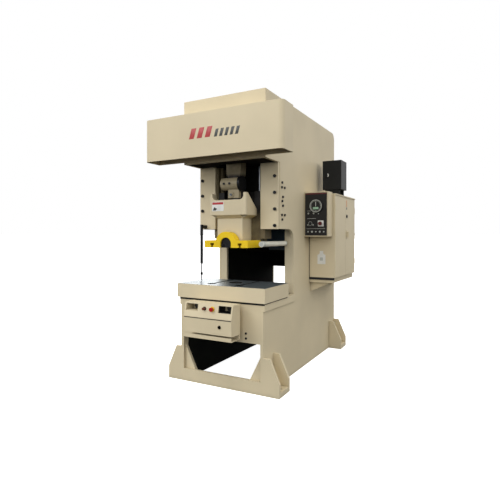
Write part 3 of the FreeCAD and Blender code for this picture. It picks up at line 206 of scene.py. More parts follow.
def lathe(profile, axis, centre, turns=48):
    """A turned shape: each profile point (height, radius) becomes a circle about the axis."""
    across, up, along = axes_of(axis)
    angle = np.linspace(0, 2 * math.pi, turns, endpoint=False)
    circle = np.cos(angle)[:, None] * across + np.sin(angle)[:, None] * up
    rings = [np.asarray(centre, float) + height * along + radius * circle for height, radius in profile]
    return loft(rings)


# ---------------------------------------------------------------- materials
CREAM = "#DDCFAE"
YELLOW = "#F5CF1B"


def linear(hexa):
    """An sRGB hex colour as linear RGBA."""
    channels = [int(hexa[i:i + 2], 16) / 255 for i in (1, 3, 5)]
    return tuple(c / 12.92 if c <= 0.04045 else ((c + 0.055) / 1.055) ** 2.4 for c in channels) + (1.0,)


def add(tree, kind, links=(), **settings):
    """One shader node with its settings and the sockets that feed it."""
    node = tree.nodes.new("ShaderNode" + kind)
    for name, value in settings.items():
        setattr(node, name, value)
    for socket, source in dict(links).items():
        if isinstance(source, bpy.types.NodeSocket):
            tree.links.new(source, node.inputs[socket])
        else:
            node.inputs[socket].default_value = source
    return node


def start(name, hexa, roughness, metallic=0.0, coat=0.0, ior=1.5):
    """An empty material with its surface shader set to plain values."""
    material = bpy.data.materials.new(name)
    material.use_nodes = True
    tree = material.node_tree
    shader = tree.nodes["Principled BSDF"]
    shader.inputs["Base Color"].default_value = linear(hexa)
    shader.inputs["Roughness"].default_value = roughness
    shader.inputs["Metallic"].default_value = metallic
    shader.inputs["Coat Weight"].default_value = coat
    if metallic < 0.5:
        shader.inputs["IOR"].default_value = ior
    place = add(tree, "TexCoord").outputs["Object"]
    return material, tree, shader, place


def shade_of(hexa, factor):
    return tuple(c * factor for c in linear(hexa)[:3]) + (1.0,)


def mottled(tree, place, size_mm, pale, dark, detail=3.0):
    """Two tones drifting into each other over patches of a real size."""
    noise = add(tree, "TexNoise", {"Vector": place, "Scale": 1000 / size_mm, "Detail": detail})
    spread = add(tree, "MapRange", {"Value": noise.outputs["Fac"], "From Min": 0.35, "From Max": 0.65})
    return blend_colours(tree, spread.outputs["Result"], pale, dark)


def corner_dust_and_shade(tree, colour, dust_and_shade_tint, reach_mm, amount):
    """A colour that darkens where its surface is occluded, in inner corners: painted shade there, and the
    oily dust that gathers in them.
    """
    # the occlusion darkening is painted shade; the tint stands for dust and shade together
    corner = add(tree, "AmbientOcclusion", {"Distance": reach_mm * MM}, samples=8)
    open_air = add(tree, "MapRange", {"Value": corner.outputs["AO"], "From Min": 0.15, "From Max": 0.85,
                                      "To Min": amount, "To Max": 0.0})
    return blend_colours(tree, open_air.outputs["Result"], colour, linear(dust_and_shade_tint))


def rippled(tree, place, size_mm, height_mm, strength, edge_mm=2.0):
    """A surface normal with fine ripples over edges that are broken by a small radius."""
    noise = add(tree, "TexNoise", {"Vector": place, "Scale": 1000 / size_mm, "Detail": 4.0})
    edge = add(tree, "Bevel", {"Radius": edge_mm * MM}, samples=4)
    return add(tree, "Bump", {"Height": noise.outputs["Fac"], "Distance": height_mm * MM,
                              "Strength": strength, "Normal": edge.outputs["Normal"]}).outputs["Normal"]


def above(tree, value, limit):
    return add(tree, "Math", {0: value, 1: limit}, operation="GREATER_THAN").outputs[0]


def product(tree, first, second):
    return add(tree, "Math", {0: first, 1: second}, operation="MULTIPLY").outputs[0]


def blend_colours(tree, factor, first, second):
    return add(tree, "Mix", {"Factor": factor, 6: first, 7: second}, data_type="RGBA").outputs[2]


def largest(tree, first, second):
    return add(tree, "Math", {0: first, 1: second}, operation="MAXIMUM").outputs[0]


def size_of(tree, value):
    return add(tree, "Math", {0: value}, operation="ABSOLUTE").outputs[0]


def interior_shade_mask(tree, place):
    """1 inside the welded body: between its side plates, behind its front plates and under its
    roof, where its walls are painted near black as painted shade of the unlit interior."""
    side_skin, skin = 0.0244, 0.0245
    front_plates = 0.0635
    split = add(tree, "SeparateXYZ", {0: place})
    side = above(tree, float(high("right_side_plate")[0]) - side_skin, size_of(tree, split.outputs["X"]))
    face = product(tree, above(tree, split.outputs["Y"], front_of("right_side_plate") + front_plates),
                   above(tree, back_of("right_side_plate") - skin, split.outputs["Y"]))
    roof = above(tree, top_of("right_side_plate") - skin, split.outputs["Z"])
    return product(tree, side, product(tree, face, roof))


def body_finish():
    """The welded body: cream enamel outside, and near black inside as painted shade of the unlit interior,
    which takes no shine.
    """
    material, tree, shader, place = start("body_enamel_and_interior_shade", CREAM, 0.5)
    shader.inputs["Specular IOR Level"].default_value = 0.25
    tone = mottled(tree, place, 450, shade_of(CREAM, 1.02), shade_of(CREAM, 0.94))
    # corners darkened: painted shade, with dust
    cream = corner_dust_and_shade(tree, tone, "#6B6248", 45, 0.45)
    # near black inside the body: painted shade of the unlit interior
    interior_shade_black = mottled(tree, place, 160, linear("#0B0B07"), linear("#14140D"))
    in_unlit_interior = interior_shade_mask(tree, place)
    tree.links.new(blend_colours(tree, in_unlit_interior, cream, interior_shade_black), shader.inputs["Base Color"])
    dull = add(tree, "MapRange", {"Value": in_unlit_interior, "To Min": 0.5, "To Max": 0.95})
    tree.links.new(dull.outputs["Result"], shader.inputs["Roughness"])
    tree.links.new(rippled(tree, place, 9, 0.25, 0.35), shader.inputs["Normal"])
    return material


def interior_shade_finish():
    """Near black for the parts inside the crown, as painted shade of the unlit interior: matt."""
    material, tree, shader, place = start("interior_painted_shade_black", "#12120C", 0.95)
    shader.inputs["Specular IOR Level"].default_value = 0.15
    # two near-black tones: painted shade of the unlit crown
    tone = mottled(tree, place, 160, linear("#0B0B07"), linear("#17160F"))
    tree.links.new(tone, shader.inputs["Base Color"])
    return material


def rod_finish():
    """The connecting rod: thin cream enamel browned by oil, its nut boss bare and black below."""
    material, tree, shader, place = start("rod_enamel_oily", "#9A8E74", 0.5)
    shader.inputs["Specular IOR Level"].default_value = 0.3
    split = add(tree, "SeparateXYZ", {0: place})
    boss_rise, fade = 0.185, 0.03
    boss_top = foot_of("connecting_rod") + boss_rise
    oily = mottled(tree, place, 90, linear("#A89C80"), linear("#857A60"))
    bare = mottled(tree, place, 30, linear("#1B1612"), linear("#2C241C"))
    upper = add(tree, "MapRange", {"Value": split.outputs["Z"], "From Min": boss_top,
                                   "From Max": boss_top + fade})
    tree.links.new(blend_colours(tree, upper.outputs["Result"], bare, oily), shader.inputs["Base Color"])
    tree.links.new(rippled(tree, place, 6, 0.3, 0.5, 3.0), shader.inputs["Normal"])
    return material


def enamel(name, hexa, roughness=0.5, coat=0.0, dust_and_shade_tint="#6B6248", corner_darkening=0.45):
    """Two-pack machine enamel sprayed over filled castings and plate: a soft gloss, a faint orange
    peel drawn at 9 mm so that it shows, tone drifting over half a metre, dust and painted shade in the
    corners."""
    material, tree, shader, place = start(name, hexa, roughness, coat=coat)
    shader.inputs["Specular IOR Level"].default_value = 0.3
    tone = mottled(tree, place, 450, shade_of(hexa, 1.02), shade_of(hexa, 0.94))
    # corners darkened: painted shade, with dust
    colour = corner_dust_and_shade(tree, tone, dust_and_shade_tint, 45, corner_darkening)
    tree.links.new(colour, shader.inputs["Base Color"])
    tree.links.new(rippled(tree, place, 9, 0.25, 0.35), shader.inputs["Normal"])
    return material


def blacked_steel(name, hexa="#1B1C1E", roughness=0.38):
    """Steel blacked in hot oxide salts and oiled: near black, with a dull metal sheen."""
    material, tree, shader, place = start(name, hexa, roughness, metallic=0.6)
    tone = mottled(tree, place, 14, shade_of(hexa, 1.5), shade_of(hexa, 0.7))
    tree.links.new(tone, shader.inputs["Base Color"])
    tree.links.new(rippled(tree, place, 3, 0.08, 0.4, 1.0), shader.inputs["Normal"])
    return material


def turned_steel(name, hexa="#8E9296", roughness=0.28):
    """Turned and ground carbon steel: bright, with a fine lay about 2 mm wide."""
    material, tree, shader, place = start(name, hexa, roughness, metallic=1.0)
    marks = add(tree, "TexNoise", {"Vector": place, "Scale": 500.0, "Detail": 1.0})
    spread = add(tree, "MapRange", {"Value": marks.outputs["Fac"], "To Min": roughness - 0.08,
                                    "To Max": roughness + 0.12})
    tree.links.new(spread.outputs["Result"], shader.inputs["Roughness"])
    tree.links.new(mottled(tree, place, 60, linear(hexa), shade_of(hexa, 0.8)), shader.inputs["Base Color"])
    return material


def cast_iron(name, hexa="#4B4A47"):
    """Grey iron as cast in sand: a rough skin of 3.5 mm grains under a priming coat."""
    material, tree, shader, place = start(name, hexa, 0.62, metallic=0.35)
    tree.links.new(mottled(tree, place, 90, shade_of(hexa, 1.15), shade_of(hexa, 0.8)),
                   shader.inputs["Base Color"])
    tree.links.new(rippled(tree, place, 3.5, 0.4, 0.7, 2.5), shader.inputs["Normal"])
    return material


def bronze(name="tin_bronze_bush"):
    """Tin bronze, bored and oiled: warm and half bright."""
    material, tree, shader, place = start(name, "#9C6B35", 0.32, metallic=1.0)
    tone = mottled(tree, place, 40, linear("#A8763C"), linear("#7A4F26"))
    tree.links.new(tone, shader.inputs["Base Color"])
    return material


def moulded(name, hexa, roughness=0.42, grain_mm=1.6, coat=0.0):
    """Injection-moulded plastic with a spark-eroded grain that breaks the highlight up."""
    material, tree, shader, place = start(name, hexa, roughness, coat=coat, ior=1.46)
    tree.links.new(mottled(tree, place, 55, shade_of(hexa, 1.05), shade_of(hexa, 0.93)),
                   shader.inputs["Base Color"])
    tree.links.new(rippled(tree, place, grain_mm, 0.06, 0.3, 0.8), shader.inputs["Normal"])
    return material


def rubber(name="cloth_backed_rubber"):
    """Neoprene belt with a worn cloth back: matt, dusty, a 4 mm weave."""
    material, tree, shader, place = start(name, "#17171A", 0.82, ior=1.52)
    weave = add(tree, "TexWave", {"Vector": place, "Scale": 80.0, "Distortion": 1.0})
    tone = blend_colours(tree, weave.outputs["Fac"], linear("#111113"), linear("#242428"))
    tree.links.new(tone, shader.inputs["Base Color"])
    return material


def printed(name, hexa, roughness=0.5):
    """Screen-printed or foil colour, thin and even, with a little fading."""
    material, tree, shader, place = start(name, hexa, roughness, coat=0.2)
    tree.links.new(mottled(tree, place, 70, shade_of(hexa, 1.04), shade_of(hexa, 0.9)),
                   shader.inputs["Base Color"])
    return material


def bolster_finish():
    """The bolster: enamel on its sides, its top face ground bare with marks 3 mm apart running
    left to right, its slot walls painted dark as painted shade in the slots."""
    material, tree, shader, place = start("bolster_enamel_and_ground_iron", CREAM, 0.4)
    slot_deep, side_skin, front_skin, top_skin = 0.04, 0.004, 0.002, 0.0006
    split = add(tree, "SeparateXYZ", {0: place})
    top = above(tree, split.outputs["Z"], top_of("bolster") - top_skin)
    core = above(tree, float(high("bolster")[0]) - side_skin, size_of(tree, split.outputs["X"]))
    deep = above(tree, split.outputs["Z"], top_of("bolster") - slot_deep)
    behind = above(tree, split.outputs["Y"], front_of("bolster") + front_skin)
    slot_shade = product(tree, product(tree, core, deep), behind)
    long_way = add(tree, "Mapping", {"Vector": place, "Scale": (6.0, 330.0, 330.0)}).outputs[0]
    marks = add(tree, "TexNoise", {"Vector": long_way, "Scale": 1.0, "Detail": 2.0})
    iron = blend_colours(tree, marks.outputs["Fac"], linear("#596266"), linear("#868F92"))
    paint = mottled(tree, place, 450, shade_of(CREAM, 1.03), shade_of(CREAM, 0.95))
    # corners darkened: painted shade, with dust
    paint = corner_dust_and_shade(tree, paint, "#4A432F", 45, 0.5)
    bare = largest(tree, top, slot_shade)
    # 2A2624 on the slot walls: painted shade in the slots
    dark = blend_colours(tree, top, linear("#2A2624"), iron)
    tree.links.new(blend_colours(tree, bare, paint, dark), shader.inputs["Base Color"])
    tree.links.new(product(tree, bare, 0.7), shader.inputs["Metallic"])
    tree.links.new(rippled(tree, place, 9, 0.2, 0.3), shader.inputs["Normal"])
    return material


def slide_finish():
    """The slide casting: cream enamel, the die flange and its arch brushed warning yellow, the
    guide block behind them dark iron, painted darker upwards to near black as painted shade of the unlit
    body."""
    material, tree, shader, place = start("slide_enamel_cream_and_yellow", CREAM, 0.45)
    shader.inputs["Specular IOR Level"].default_value = 0.3
    flange_thick, arch_deep, arch_rise, guide_set = 0.0592, 0.0655, 0.09, 0.217
    shade_from, shade_to = 0.16, 0.24
    split = add(tree, "SeparateXYZ", {0: place})
    flange_top = foot_of("slide") + flange_thick
    front = front_of("slide")
    ahead = above(tree, front + guide_set, split.outputs["Y"])
    flange = product(tree, above(tree, flange_top, split.outputs["Z"]), ahead)
    arch = product(tree, above(tree, front + arch_deep, split.outputs["Y"]),
                   above(tree, flange_top + arch_rise, split.outputs["Z"]))
    mask = largest(tree, flange, arch)
    cream = mottled(tree, place, 300, shade_of(CREAM, 0.98), shade_of(CREAM, 0.88))
    yellow = mottled(tree, place, 120, linear(YELLOW), shade_of(YELLOW, 0.9))
    # corners darkened: painted shade, with dust
    tone = corner_dust_and_shade(tree, blend_colours(tree, mask, cream, yellow), "#5A5236", 40, 0.5)
    iron = mottled(tree, place, 60, linear("#5B523C"), linear("#6E644A"))
    # the guide block goes near black upwards: painted shade of the unlit body above it
    higher = add(tree, "MapRange", {"Value": split.outputs["Z"], "From Min": flange_top + shade_from,
                                    "From Max": flange_top + shade_to})
    iron_shaded_upwards = blend_colours(tree, higher.outputs["Result"], iron, linear("#15120D"))
    tree.links.new(blend_colours(tree, ahead, iron_shaded_upwards, tone), shader.inputs["Base Color"])
    tree.links.new(rippled(tree, place, 7, 0.4, 0.45, 4.0), shader.inputs["Normal"])
    return material


def make_materials():
    """Every finish on the press, by the name the pieces ask for."""
    return {
        "cream": enamel("machine_enamel_cream", CREAM),
        "body": body_finish(),
        "interior_shade_black": interior_shade_finish(),
        "rod": rod_finish(),
        "housing": enamel("housing_enamel_oily", "#A3977B", roughness=0.45, corner_darkening=0.6),
        "rail": enamel("guide_iron_greased", "#6E634A", roughness=0.5, corner_darkening=0.7),
        "bolster": bolster_finish(),
        "slide": slide_finish(),
        "black": blacked_steel("hot_blacked_steel"),
        "steel": turned_steel("turned_carbon_steel"),
        "cast": cast_iron("sand_cast_grey_iron"),
        "bronze": bronze(),
        "fascia": moulded("acrylic_fascia_black", "#070607", 0.5),
        "plastic": moulded("moulded_nylon_black", "#151517", 0.45),
        "box": enamel("structure_enamel_black", "#0B0F12", roughness=0.45, dust_and_shade_tint="#0A0A0A"),
        "red": moulded("moulded_urea_red", "#B3170F", 0.3, coat=0.3),
        "stop": moulded("moulded_urea_dark_red", "#5A1012", 0.35),
        "dark_red": printed("printed_dark_red", "#5A1418"),
        "brown": moulded("moulded_urea_brown", "#6B2A1A", 0.3, coat=0.3),
        "yellow": printed("printed_warning_yellow", "#F2C714"),
        "white": printed("printed_white_foil", "#E8E8E2"),
        "grey": printed("printed_pale_grey", "#B9BDB6"),
        "green": printed("lit_readout_pale", "#9FC8A8"),
        "stripe_red": printed("printed_signal_red", "#B5292B"),
        "stripe_dark": printed("printed_charcoal", "#2E332F"),
        "orange": printed("printed_caution_orange", "#D9822B"),
        "motor": enamel("motor_enamel_blue_grey", "#3D5160"),
        "rubber": rubber(),
        "lamp": moulded("opal_acrylic_tube", "#E4E2D2", 0.22, coat=0.4),
    }


CAD_FINISHES = {
    "bolster": "bolster", "slide": "slide", "guide_rails": "rail", "connecting_rod": "rod",
    "worm_housing": "housing", "gib_plate_screws": "black",
    "guide_adjusting_screws": "black", "crankshaft_bushes": "bronze", "pinion_shaft_bushes": "bronze",
    "motor": "motor", "drive_belts": "rubber", "control_fascia": "fascia", "valve_box": "box",
    "valve_box_door": "box", "work_lamp": "lamp", "guard_post": "black", "shank_clamp": "black",
    "shank_clamp_screws": "black", "ball_seat": "bronze", "counterbalance_rods": "steel",
    "big_end_bush": "bronze", "adjusting_screw": "steel", "housing_end_cap": "black",
    "housing_screws": "black", "worm_shaft": "steel", "crankshaft": "steel", "main_gear": "cast",
    "pinion_shaft": "steel", "clutch_brake": "cast", "flywheel": "cast", "motor_pulley": "cast",
    "control_stop_button": "stop", "mode_selector": "plastic", "left_palm_button": "plastic",
    "right_palm_button": "plastic", "operator_stop_button": "red", "cycle_button": "brown",
    "counterbalance_cylinders": "cast", "bearing_walls": "interior_shade_black", "left_side_plate": "body",
    "right_side_plate": "body", "roof_and_back_plate": "body", "crown_front_plate": "body",
    "crown_floor": "interior_shade_black", "bed_front_plate": "body", "bed_top_plate": "body", "floor_beams": "body",
    "guide_backings": "interior_shade_black", "motor_bracket": "interior_shade_black",
}


def dress_frame(finishes):
    """Every carried CAD node takes its own finish."""
    for name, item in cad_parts.items():
        finish = finishes[CAD_FINISHES.get(name, "cream")]
        for slot in item.material_slots:
            slot.material = finish


# ---------------------------------------------------------------- fittings and marks
FOIL = 0.0007            # how far a stuck foil or print stands off its face
RIM = FOIL * 0.3         # the radius that takes the edge off a foil
POLE = 0.0001            # the radius at which a turned shape closes on its axis
DOOR_HANDLE = 0.472      # how far back the cabinet's handle, lock and fields of colour lie


def foil(name, axis, face, lows, highs, material, body, slot, side=-1, radius=0.0):
    """A thin plate stuck on a face square to an axis. lows and highs are its two other
    coordinates, in the order x, y, z with the axis left out."""
    k = "XYZ".index(axis)
    low_corner = np.insert(np.array(lows, float), k, min(face, face + side * FOIL))
    high_corner = np.insert(np.array(highs, float), k, max(face, face + side * FOIL))
    shape = plate(axis, low_corner, high_corner, radius, RIM, 4)
    return mesh_piece(name, *shape, material, body, slot)


def print_of(outline, face):
    """A printed or foil shape on a front face, its outline given as (z, x) points."""
    return slab(outline, "Y", face - FOIL, face, RIM)


def ring(centre, outer, inner, face, turns=40):
    """A flat ring on a front face: its thin rectangular section turned about the Y axis."""
    section = [(-FOIL, inner), (-FOIL, outer), (0, outer), (0, inner), (-FOIL, inner)]
    centre = np.array((centre[0], face, centre[2]), float)
    across, up, along = axes_of("Y")
    angle = np.linspace(0, 2 * math.pi, turns, endpoint=False)
    circle = np.cos(angle)[:, None] * across + np.sin(angle)[:, None] * up
    return loft([centre + h * along + r * circle for h, r in section], caps=(False, False))


def collar(centre, face, bore, reach, rim, chamfer):
    """A turned collar on a front face: a cone out to its rim, a chamfer and the bore behind it."""
    root, lip = 0.004, 0.001
    crown = -reach - lip
    profile = [(root, bore), (-reach, rim), (crown, rim - chamfer), (crown, bore), (root, bore)]
    return lathe(profile, "Y", (centre[0], face, centre[2]))


def button(seat, radius, reach, chamfer, slim, turns):
    """A turned disc that stands off a front face by its reach and a chamfered crown."""
    root = 0.001
    crown = -reach - chamfer
    profile = [(root, POLE), (root, radius), (-reach, radius), (crown, slim), (crown, POLE)]
    return lathe(profile, "Y", seat, turns)


def leaning_bars(first, pitch, width, count, base, top, lean, face):
    """Bars that lean to the right on a front face: bar i is a parallelogram from first + i pitch."""
    bars = []
    for left in first + pitch * np.arange(count):
        outline = [(base, left), (base, left + width), (top, left + width + lean), (top, left + lean)]
        bars.append(print_of(outline, face))
    return merge(bars)


def make_hood_marks(finish):
    """A flash of generic leaning stripes on the hood, red then charcoal."""
    face = front_of("crown_hood")
    base = foot_of("crown_hood")
    red = leaning_bars(-0.196, 0.074, 0.046, 3, base + 0.142, base + 0.222, 0.026, face)
    dark = leaning_bars(0.036, 0.046, 0.026, 5, base + 0.138, base + 0.196, 0.018, face)
    mesh_piece("hood_flash_red", *red, finish["stripe_red"], "press_frame", "body_paint")
    mesh_piece("hood_flash_dark", *dark, finish["stripe_dark"], "press_frame", "body_paint")


def make_slide_marks(finish):
    """A blank foil on the slide: white field, red band above, charcoal flash in its corner."""
    flange_reach, rise = 0.030, 0.298
    face = front_of("slide") + flange_reach
    z = foot_of("slide") + rise
    foil("slide_foil", "Y", face, (-0.150, z), (-0.036, z + 0.077), finish["white"], "ram", "body_paint",
         radius=0.004)
    foil("slide_foil_band", "Y", face - FOIL, (-0.146, z + 0.054), (-0.040, z + 0.073),
         finish["stripe_red"], "ram", "body_paint", radius=0.002)
    outline = [(z + 0.006, -0.142), (z + 0.006, -0.112), (z + 0.020, -0.100), (z + 0.034, -0.128)]
    mesh_piece("slide_foil_flash", *print_of(outline, face - FOIL), finish["stripe_dark"], "ram",
               "body_paint")


def dial_ticks(x, z, face):
    """Twenty-four ticks round a dial: each a short bar along its own direction from the centre,
    the four at the quarters wider."""
    ticks = []
    for i in range(24):
        angle = i * math.pi / 12
        out = np.array((math.cos(angle), math.sin(angle)))
        side = np.array((-out[1], out[0])) * (0.0016 if i % 6 else 0.003)
        corners = [out * 0.041 - side, out * 0.041 + side, out * 0.049 + side, out * 0.049 - side]
        ticks.append(print_of([(z + q[1], x + q[0]) for q in corners], face))
    return merge(ticks)


def make_fascia_marks(finish):
    """Print and knobs on the control fascia: a red head strip, the angle dial with its ring, its
    tick marks and a lit field, small keys and lamps, and the white plate behind the stop."""
    trim = ("press_frame", "black_plastic")
    dial_reach, strip_margin, backing = 0.017, 0.003, 0.0021
    left, dial_face, foot = (float(c) for c in low("control_fascia"))
    right, top = float(high("control_fascia")[0]), top_of("control_fascia")
    face = dial_face + dial_reach
    foil("fascia_head_strip", "Y", face, (left + strip_margin, top - 0.014),
         (right - strip_margin, top - 0.002), finish["dark_red"], *trim)
    x, z = left + 0.108, top - 0.120
    mesh_piece("dial_ring", *ring((x, 0, z), 0.057, 0.051, dial_face), finish["grey"], *trim)
    mesh_piece("dial_ticks", *dial_ticks(x, z, dial_face), finish["grey"], *trim)
    foil("dial_readout", "Y", dial_face, (x - 0.026, z - 0.030), (x + 0.026, z - 0.010),
         finish["green"], *trim, radius=0.003)
    foil("dial_pointer", "Y", dial_face, (x - 0.0022, z - 0.004), (x + 0.0022, z + 0.036),
         finish["white"], *trim)
    stop = centre_of("control_stop_button")
    half = 0.027
    foil("stop_backing", "Y", face - backing, (stop[0] - half, stop[2] - half),
         (stop[0] + half, stop[2] + half), finish["white"], *trim, radius=0.004)
    knob = centre_of("mode_selector")
    mesh_piece("selector_ring", *ring(knob, 0.019, 0.016, face), finish["grey"], *trim)
    upper = [(0.033, 0.200, 0.008), (0.083, 0.200, 0.008), (0.128, 0.196, 0.005),
             (0.028, 0.096, 0.006), (0.078, 0.096, 0.006)]
    row = [(0.030 + 0.037 * i, 0.034, 0.0085 if i % 2 else 0.0065) for i in range(5)]
    keys = [button((left + across, face, foot + rise), radius, 0.004, 0.0015, radius * 0.8, 20)
            for across, rise, radius in upper + row]
    mesh_piece("fascia_keys", *merge(keys), finish["grey"], *trim)
    line = 0.003
    lines = [plate("Y", (left + a, face - FOIL, foot + rise), (left + b, face, foot + rise + line), 0, RIM)
             for a, b, rise in ((0.020, 0.100, 0.222), (0.020, 0.105, 0.152), (0.016, 0.190, 0.060))]
    mesh_piece("fascia_lines", *merge(lines), finish["grey"], *trim)


def make_cabinet_marks(finish):
    """The cabinet's blank tag and fields of colour, its lock, a dark strip at its left edge as painted
    shadow of the gap, a dark strip under its door that is partly a black sill and partly painted shadow, and
    its hinge pins.
    """
    face = front_of("cabinet_shell")
    left = float(low("cabinet_shell")[0])
    door = float(high("cabinet_front_door")[0])
    sill = foot_of("cabinet_front_door")
    outline = [(0.930, 0.463), (0.930, 0.540), (1.014, 0.540), (1.026, 0.520),
               (1.052, 0.518), (1.052, 0.486), (1.026, 0.484), (1.014, 0.463)]
    mesh_piece("cabinet_tag", *print_of(outline, face), finish["white"], "press_frame", "body_paint")
    foil("cabinet_tag_field", "Y", face - FOIL, (0.486, 0.962), (0.517, 0.992), finish["grey"],
         "press_frame", "body_paint", radius=0.004)
    for name, low_z, high_z, half, key in (("caution_field_orange", 1.478, 1.545, 0.011, "orange"),
                                           ("caution_field_dark", 1.452, 1.474, 0.013, "stripe_dark"),
                                           ("plate_field_dark", 1.226, 1.246, 0.012, "stripe_dark")):
        foil(name, "X", door, (DOOR_HANDLE - half, low_z), (DOOR_HANDLE + half, high_z), finish[key],
             "cabinet_rear_leaf", "body_paint", side=1, radius=0.002)
    barrel = [(-0.001, POLE), (-0.001, 0.016), (0.006, 0.016), (0.009, 0.013), (0.009, 0.005),
              (0.005, 0.004), (0.005, POLE)]
    lock = lathe(barrel, "X", (door, DOOR_HANDLE, 1.385))
    mesh_piece("cabinet_door_lock", *lock, finish["plastic"], "cabinet_rear_leaf", "black_plastic")
    # dark strips: painted shadow of the gap at the cabinet's left edge; under the door partly a black sill,
    # partly painted shadow
    strip_start, strip_wide = left + 0.001, 0.005
    upright = plate("Y", (strip_start, face - FOIL, sill),
                    (strip_start + strip_wide, face, foot_of("control_box")), 0, RIM)
    under = plate("Y", (strip_start, face - 2 * FOIL, sill - 0.021),
                  (door - 0.006, face, sill + 0.0005), 0, RIM)
    mesh_piece("cabinet_shadow_and_sill_strips", *merge([upright, under]), finish["rubber"], "press_frame", "belt_rubber")
    pin = [(0, POLE), (0, 0.0055), (0.060, 0.0055), (0.062, 0.004), (0.062, POLE)]
    for leaf, y in (("cabinet_front_leaf", 0.098), ("cabinet_rear_leaf", 0.766)):
        pins = [lathe(pin, "Z", (door - 0.001, y, z), 20) for z in (0.90, 1.16, 1.42)]
        mesh_piece(leaf + "_hinge_pins", *merge(pins), finish["cream"], leaf, "body_paint")


def make_valve_box_marks(finish):
    """A pale diamond lock plate on the valve box door."""
    door_thick, plate_thick, sunk = 0.012, 0.0015, 0.0005
    face = back_of("valve_box_door") - door_thick
    x, z = 0.4993, 1.781
    outline = [(z, x - 0.011), (z + 0.019, x), (z, x + 0.011), (z - 0.019, x)]
    shape = slab(outline, "Y", face - plate_thick, face + sunk, FOIL * 0.4)
    mesh_piece("valve_box_lock_plate", *shape, finish["white"], "valve_door", "black_box")


def palm_liner(x, near):
    """The four thin walls that line a palm recess, from near its mouth to near its back."""
    floor, ceiling, back = 0.6222, 0.6739, -0.9435
    half, skin, radius, shy = 0.0545, 0.0015, 0.002, 0.0001
    side_set, roof_set = 0.004, 0.008
    x0, x1 = x - half, x + half
    return merge([
        plate("Z", (x0, near, floor), (x1, back, floor + skin), radius),
        plate("Z", (x0, near + roof_set, ceiling + shy - skin), (x1, back, ceiling), radius),
        plate("X", (x0, near + side_set, floor), (x0 + skin, back, ceiling - shy), radius),
        plate("X", (x1 - skin, near + side_set, floor), (x1, back, ceiling - shy), radius)])


def make_operator_box_marks(finish):
    """Liners in the palm recesses, collars at the stop and cycle buttons, the lock and the seal."""
    near, mouth = front_of("operator_box"), 0.018
    for side, liner in (("left", "cream"), ("right", "plastic")):
        x = centre_of(side + "_palm_button")[0]
        mesh_piece(side + "_palm_liner", *palm_liner(x, near + mouth), finish[liner], "press_frame",
                   "black_plastic")
    fold, slope = 0.581, 0.2427
    stop = centre_of("operator_stop_button")
    cycle = centre_of("cycle_button")
    seat = near + (float(stop[2]) - fold) * slope
    bore = 0.009
    mesh_piece("operator_stop_collar", *collar(stop, seat, bore, 0.0035, 0.020, 0.001),
               finish["yellow"], "press_frame", "body_paint")
    mesh_piece("cycle_collar", *collar(cycle, seat, bore, 0.003, 0.015, 0.001), finish["plastic"],
               "press_frame", "black_plastic")
    half = float(high("operator_box")[0]) - 0.004
    seam = top_of("operator_box_door")
    lock = button((0.112, near - 0.004, 0.520), 0.013, 0.001, 0.001, 0.012, 28)
    mesh_piece("operator_door_lock", *lock, finish["black"], "operator_door", "dark_steel")
    seal = plate("Y", (-half, near - 0.001, seam + 0.0005), (half, near + 0.002, seam + 0.0065), 0, 0.0003)
    mesh_piece("operator_door_seal", *seal, finish["rubber"], "press_frame", "belt_rubber")


def make_bed_marks(finish):
    """Two plugged holes on the bed front, and a dark strip under the bolster as painted shadow."""
    face = front_of("bed_front_plate")
    plugs = [button((0.233, face, z), 0.009, 0.003, 0.001, 0.007, 28) for z in (0.451, 0.413)]
    mesh_piece("bed_plugs", *merge(plugs), finish["black"], "press_frame", "dark_steel")
    half = float(high("bed_top_plate")[0])
    near, top = front_of("bed_top_plate"), top_of("bed_top_plate")
    # a dark strip where the bolster's shadow falls on the bed: painted shadow
    skin, shy, edge = 0.001, 0.0002, 0.0003
    across = plate("Y", (-half, near - skin, top - 0.018), (half, near, top - shy), 0, edge)
    along = plate("X", (half, near, top - 0.010), (half + skin, back_of("bolster"), top - shy), 0, edge)
    mesh_piece("bolster_shadow_strip", *merge([across, along]), finish["rubber"], "press_frame", "belt_rubber")


def make_lamp_fittings(finish):
    """End caps on the tubular work lamp, three shallow grooves in the near one."""
    x, _, z = (float(c) for c in centre_of("work_lamp"))
    radius = (top_of("work_lamp") - foot_of("work_lamp")) / 2
    near = front_of("work_lamp") - FOIL
    proud, groove = radius * 1.02, radius * 0.99
    near_cap = [(0.0, POLE), (0.0, radius * 0.8), (0.004, proud)]
    for level in 0.010 + 0.008 * np.arange(3):
        near_cap += [(level, proud), (level + 0.001, groove), (level + 0.004, groove),
                     (level + 0.005, proud)]
    near_cap += [(0.040, proud), (0.042, groove), (0.042, POLE)]
    far_cap = [(0.430, POLE), (0.430, proud), (0.448, proud), (0.450, radius * 0.9), (0.450, POLE)]
    for name, profile in (("lamp_near_cap", near_cap), ("lamp_far_cap", far_cap)):
        mesh_piece(name, *lathe(profile, "Y", (x, near, z)), finish["grey"], "press_frame", "machined_steel")


def make_details(finish):
    """Every piece that is added to the frame."""
    make_hood_marks(finish)
    make_slide_marks(finish)
    make_fascia_marks(finish)
    make_cabinet_marks(finish)
    make_valve_box_marks(finish)
    make_operator_box_marks(finish)
    make_bed_marks(finish)
    make_lamp_fittings(finish)


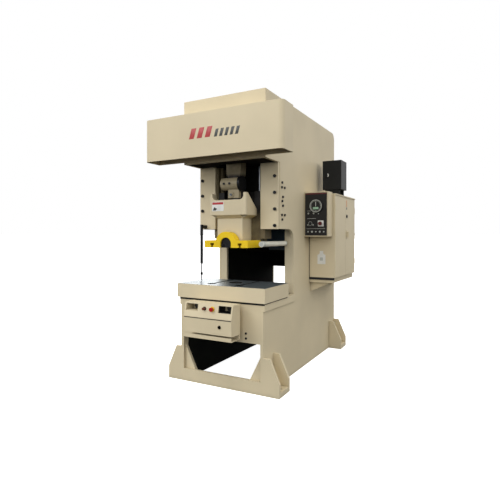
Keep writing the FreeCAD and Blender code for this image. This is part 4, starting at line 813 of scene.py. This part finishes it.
# ---------------------------------------------------------------- stage
def make_stage():
    """A pale floor, soft studio light and the camera, level, at a standing person's chest."""
    reach = 900
    corners = [(-reach, -reach, 0), (reach, -reach, 0), (reach, reach, 0), (-reach, reach, 0)]
    floor = bpy.data.meshes.new("floor")
    floor.from_pydata(corners, [], [(0, 1, 2, 3)])
    ground = bpy.data.objects.new("floor", floor)
    bpy.context.scene.collection.objects.link(ground)
    material, tree, shader, place = start("pale_studio_floor", "#F4F4F2", 0.9)
    tone = mottled(tree, place, 900, linear("#FFFFFF"), linear("#FBFBF9"))
    tree.links.new(tone, shader.inputs["Base Color"])
    shader.inputs["Specular IOR Level"].default_value = 0.0
    shader.inputs["Emission Color"].default_value = (1, 1, 1, 1)
    shader.inputs["Emission Strength"].default_value = 0.95
    floor.materials.append(material)
    ground.visible_diffuse = False
    ground.visible_glossy = False

    world = bpy.data.worlds.new("studio")
    bpy.context.scene.world = world
    world.use_nodes = True
    tree = world.node_tree
    ray = add(tree, "TexCoord").outputs["Generated"]
    height = add(tree, "SeparateXYZ", {0: ray}).outputs["Z"]
    sky = add(tree, "MapRange", {"Value": height, "From Min": -0.02, "From Max": -0.006, "To Min": 0.05,
                                 "To Max": 1.0})
    tree.links.new(sky.outputs["Result"], tree.nodes["Background"].inputs["Strength"])
    tree.nodes["Background"].inputs["Color"].default_value = (1.0, 1.0, 1.0, 1)
    bpy.context.scene.view_settings.view_transform = "Standard"

    for name, spot, aim, side, power in (
            ("key", (-2.6, -5.4, 4.6), (0, -0.4, 1.1), 3.2, 105),
            ("front", (1.2, -6.0, 2.2), (0, -0.6, 1.2), 3.0, 35),
            ("right", (5.6, -1.0, 3.4), (0, 0, 1.2), 3.0, 28),
            ("back", (-3.5, 5.0, 4.0), (0, 0, 1.2), 3.0, 140)):
        light = bpy.data.lights.new(name, "AREA")
        light.shape = "DISK"
        light.size = side
        light.energy = power
        lamp = bpy.data.objects.new(name, light)
        lamp.location = spot
        direction = np.array(aim) - np.array(spot)
        lamp.rotation_euler = (math.atan2(math.hypot(direction[0], direction[1]), -direction[2]), 0,
                               math.atan2(direction[1], direction[0]) - math.pi / 2)
        bpy.context.scene.collection.objects.link(lamp)

    view = bpy.data.cameras.new("view")
    view.lens = 30.56
    view.sensor_width = 36
    view.shift_y = -0.0304
    camera = bpy.data.objects.new("camera", view)
    camera.location = (1.8012, -3.694, 1.2021)
    camera.rotation_euler = (math.pi / 2, 0, math.radians(28.5))
    bpy.context.scene.collection.objects.link(camera)
    bpy.context.scene.camera = camera


def main():
    """Finishes on the frame, the added pieces, then the stage."""
    finishes = make_materials()
    dress_frame(finishes)
    make_details(finishes)
    make_stage()


main()
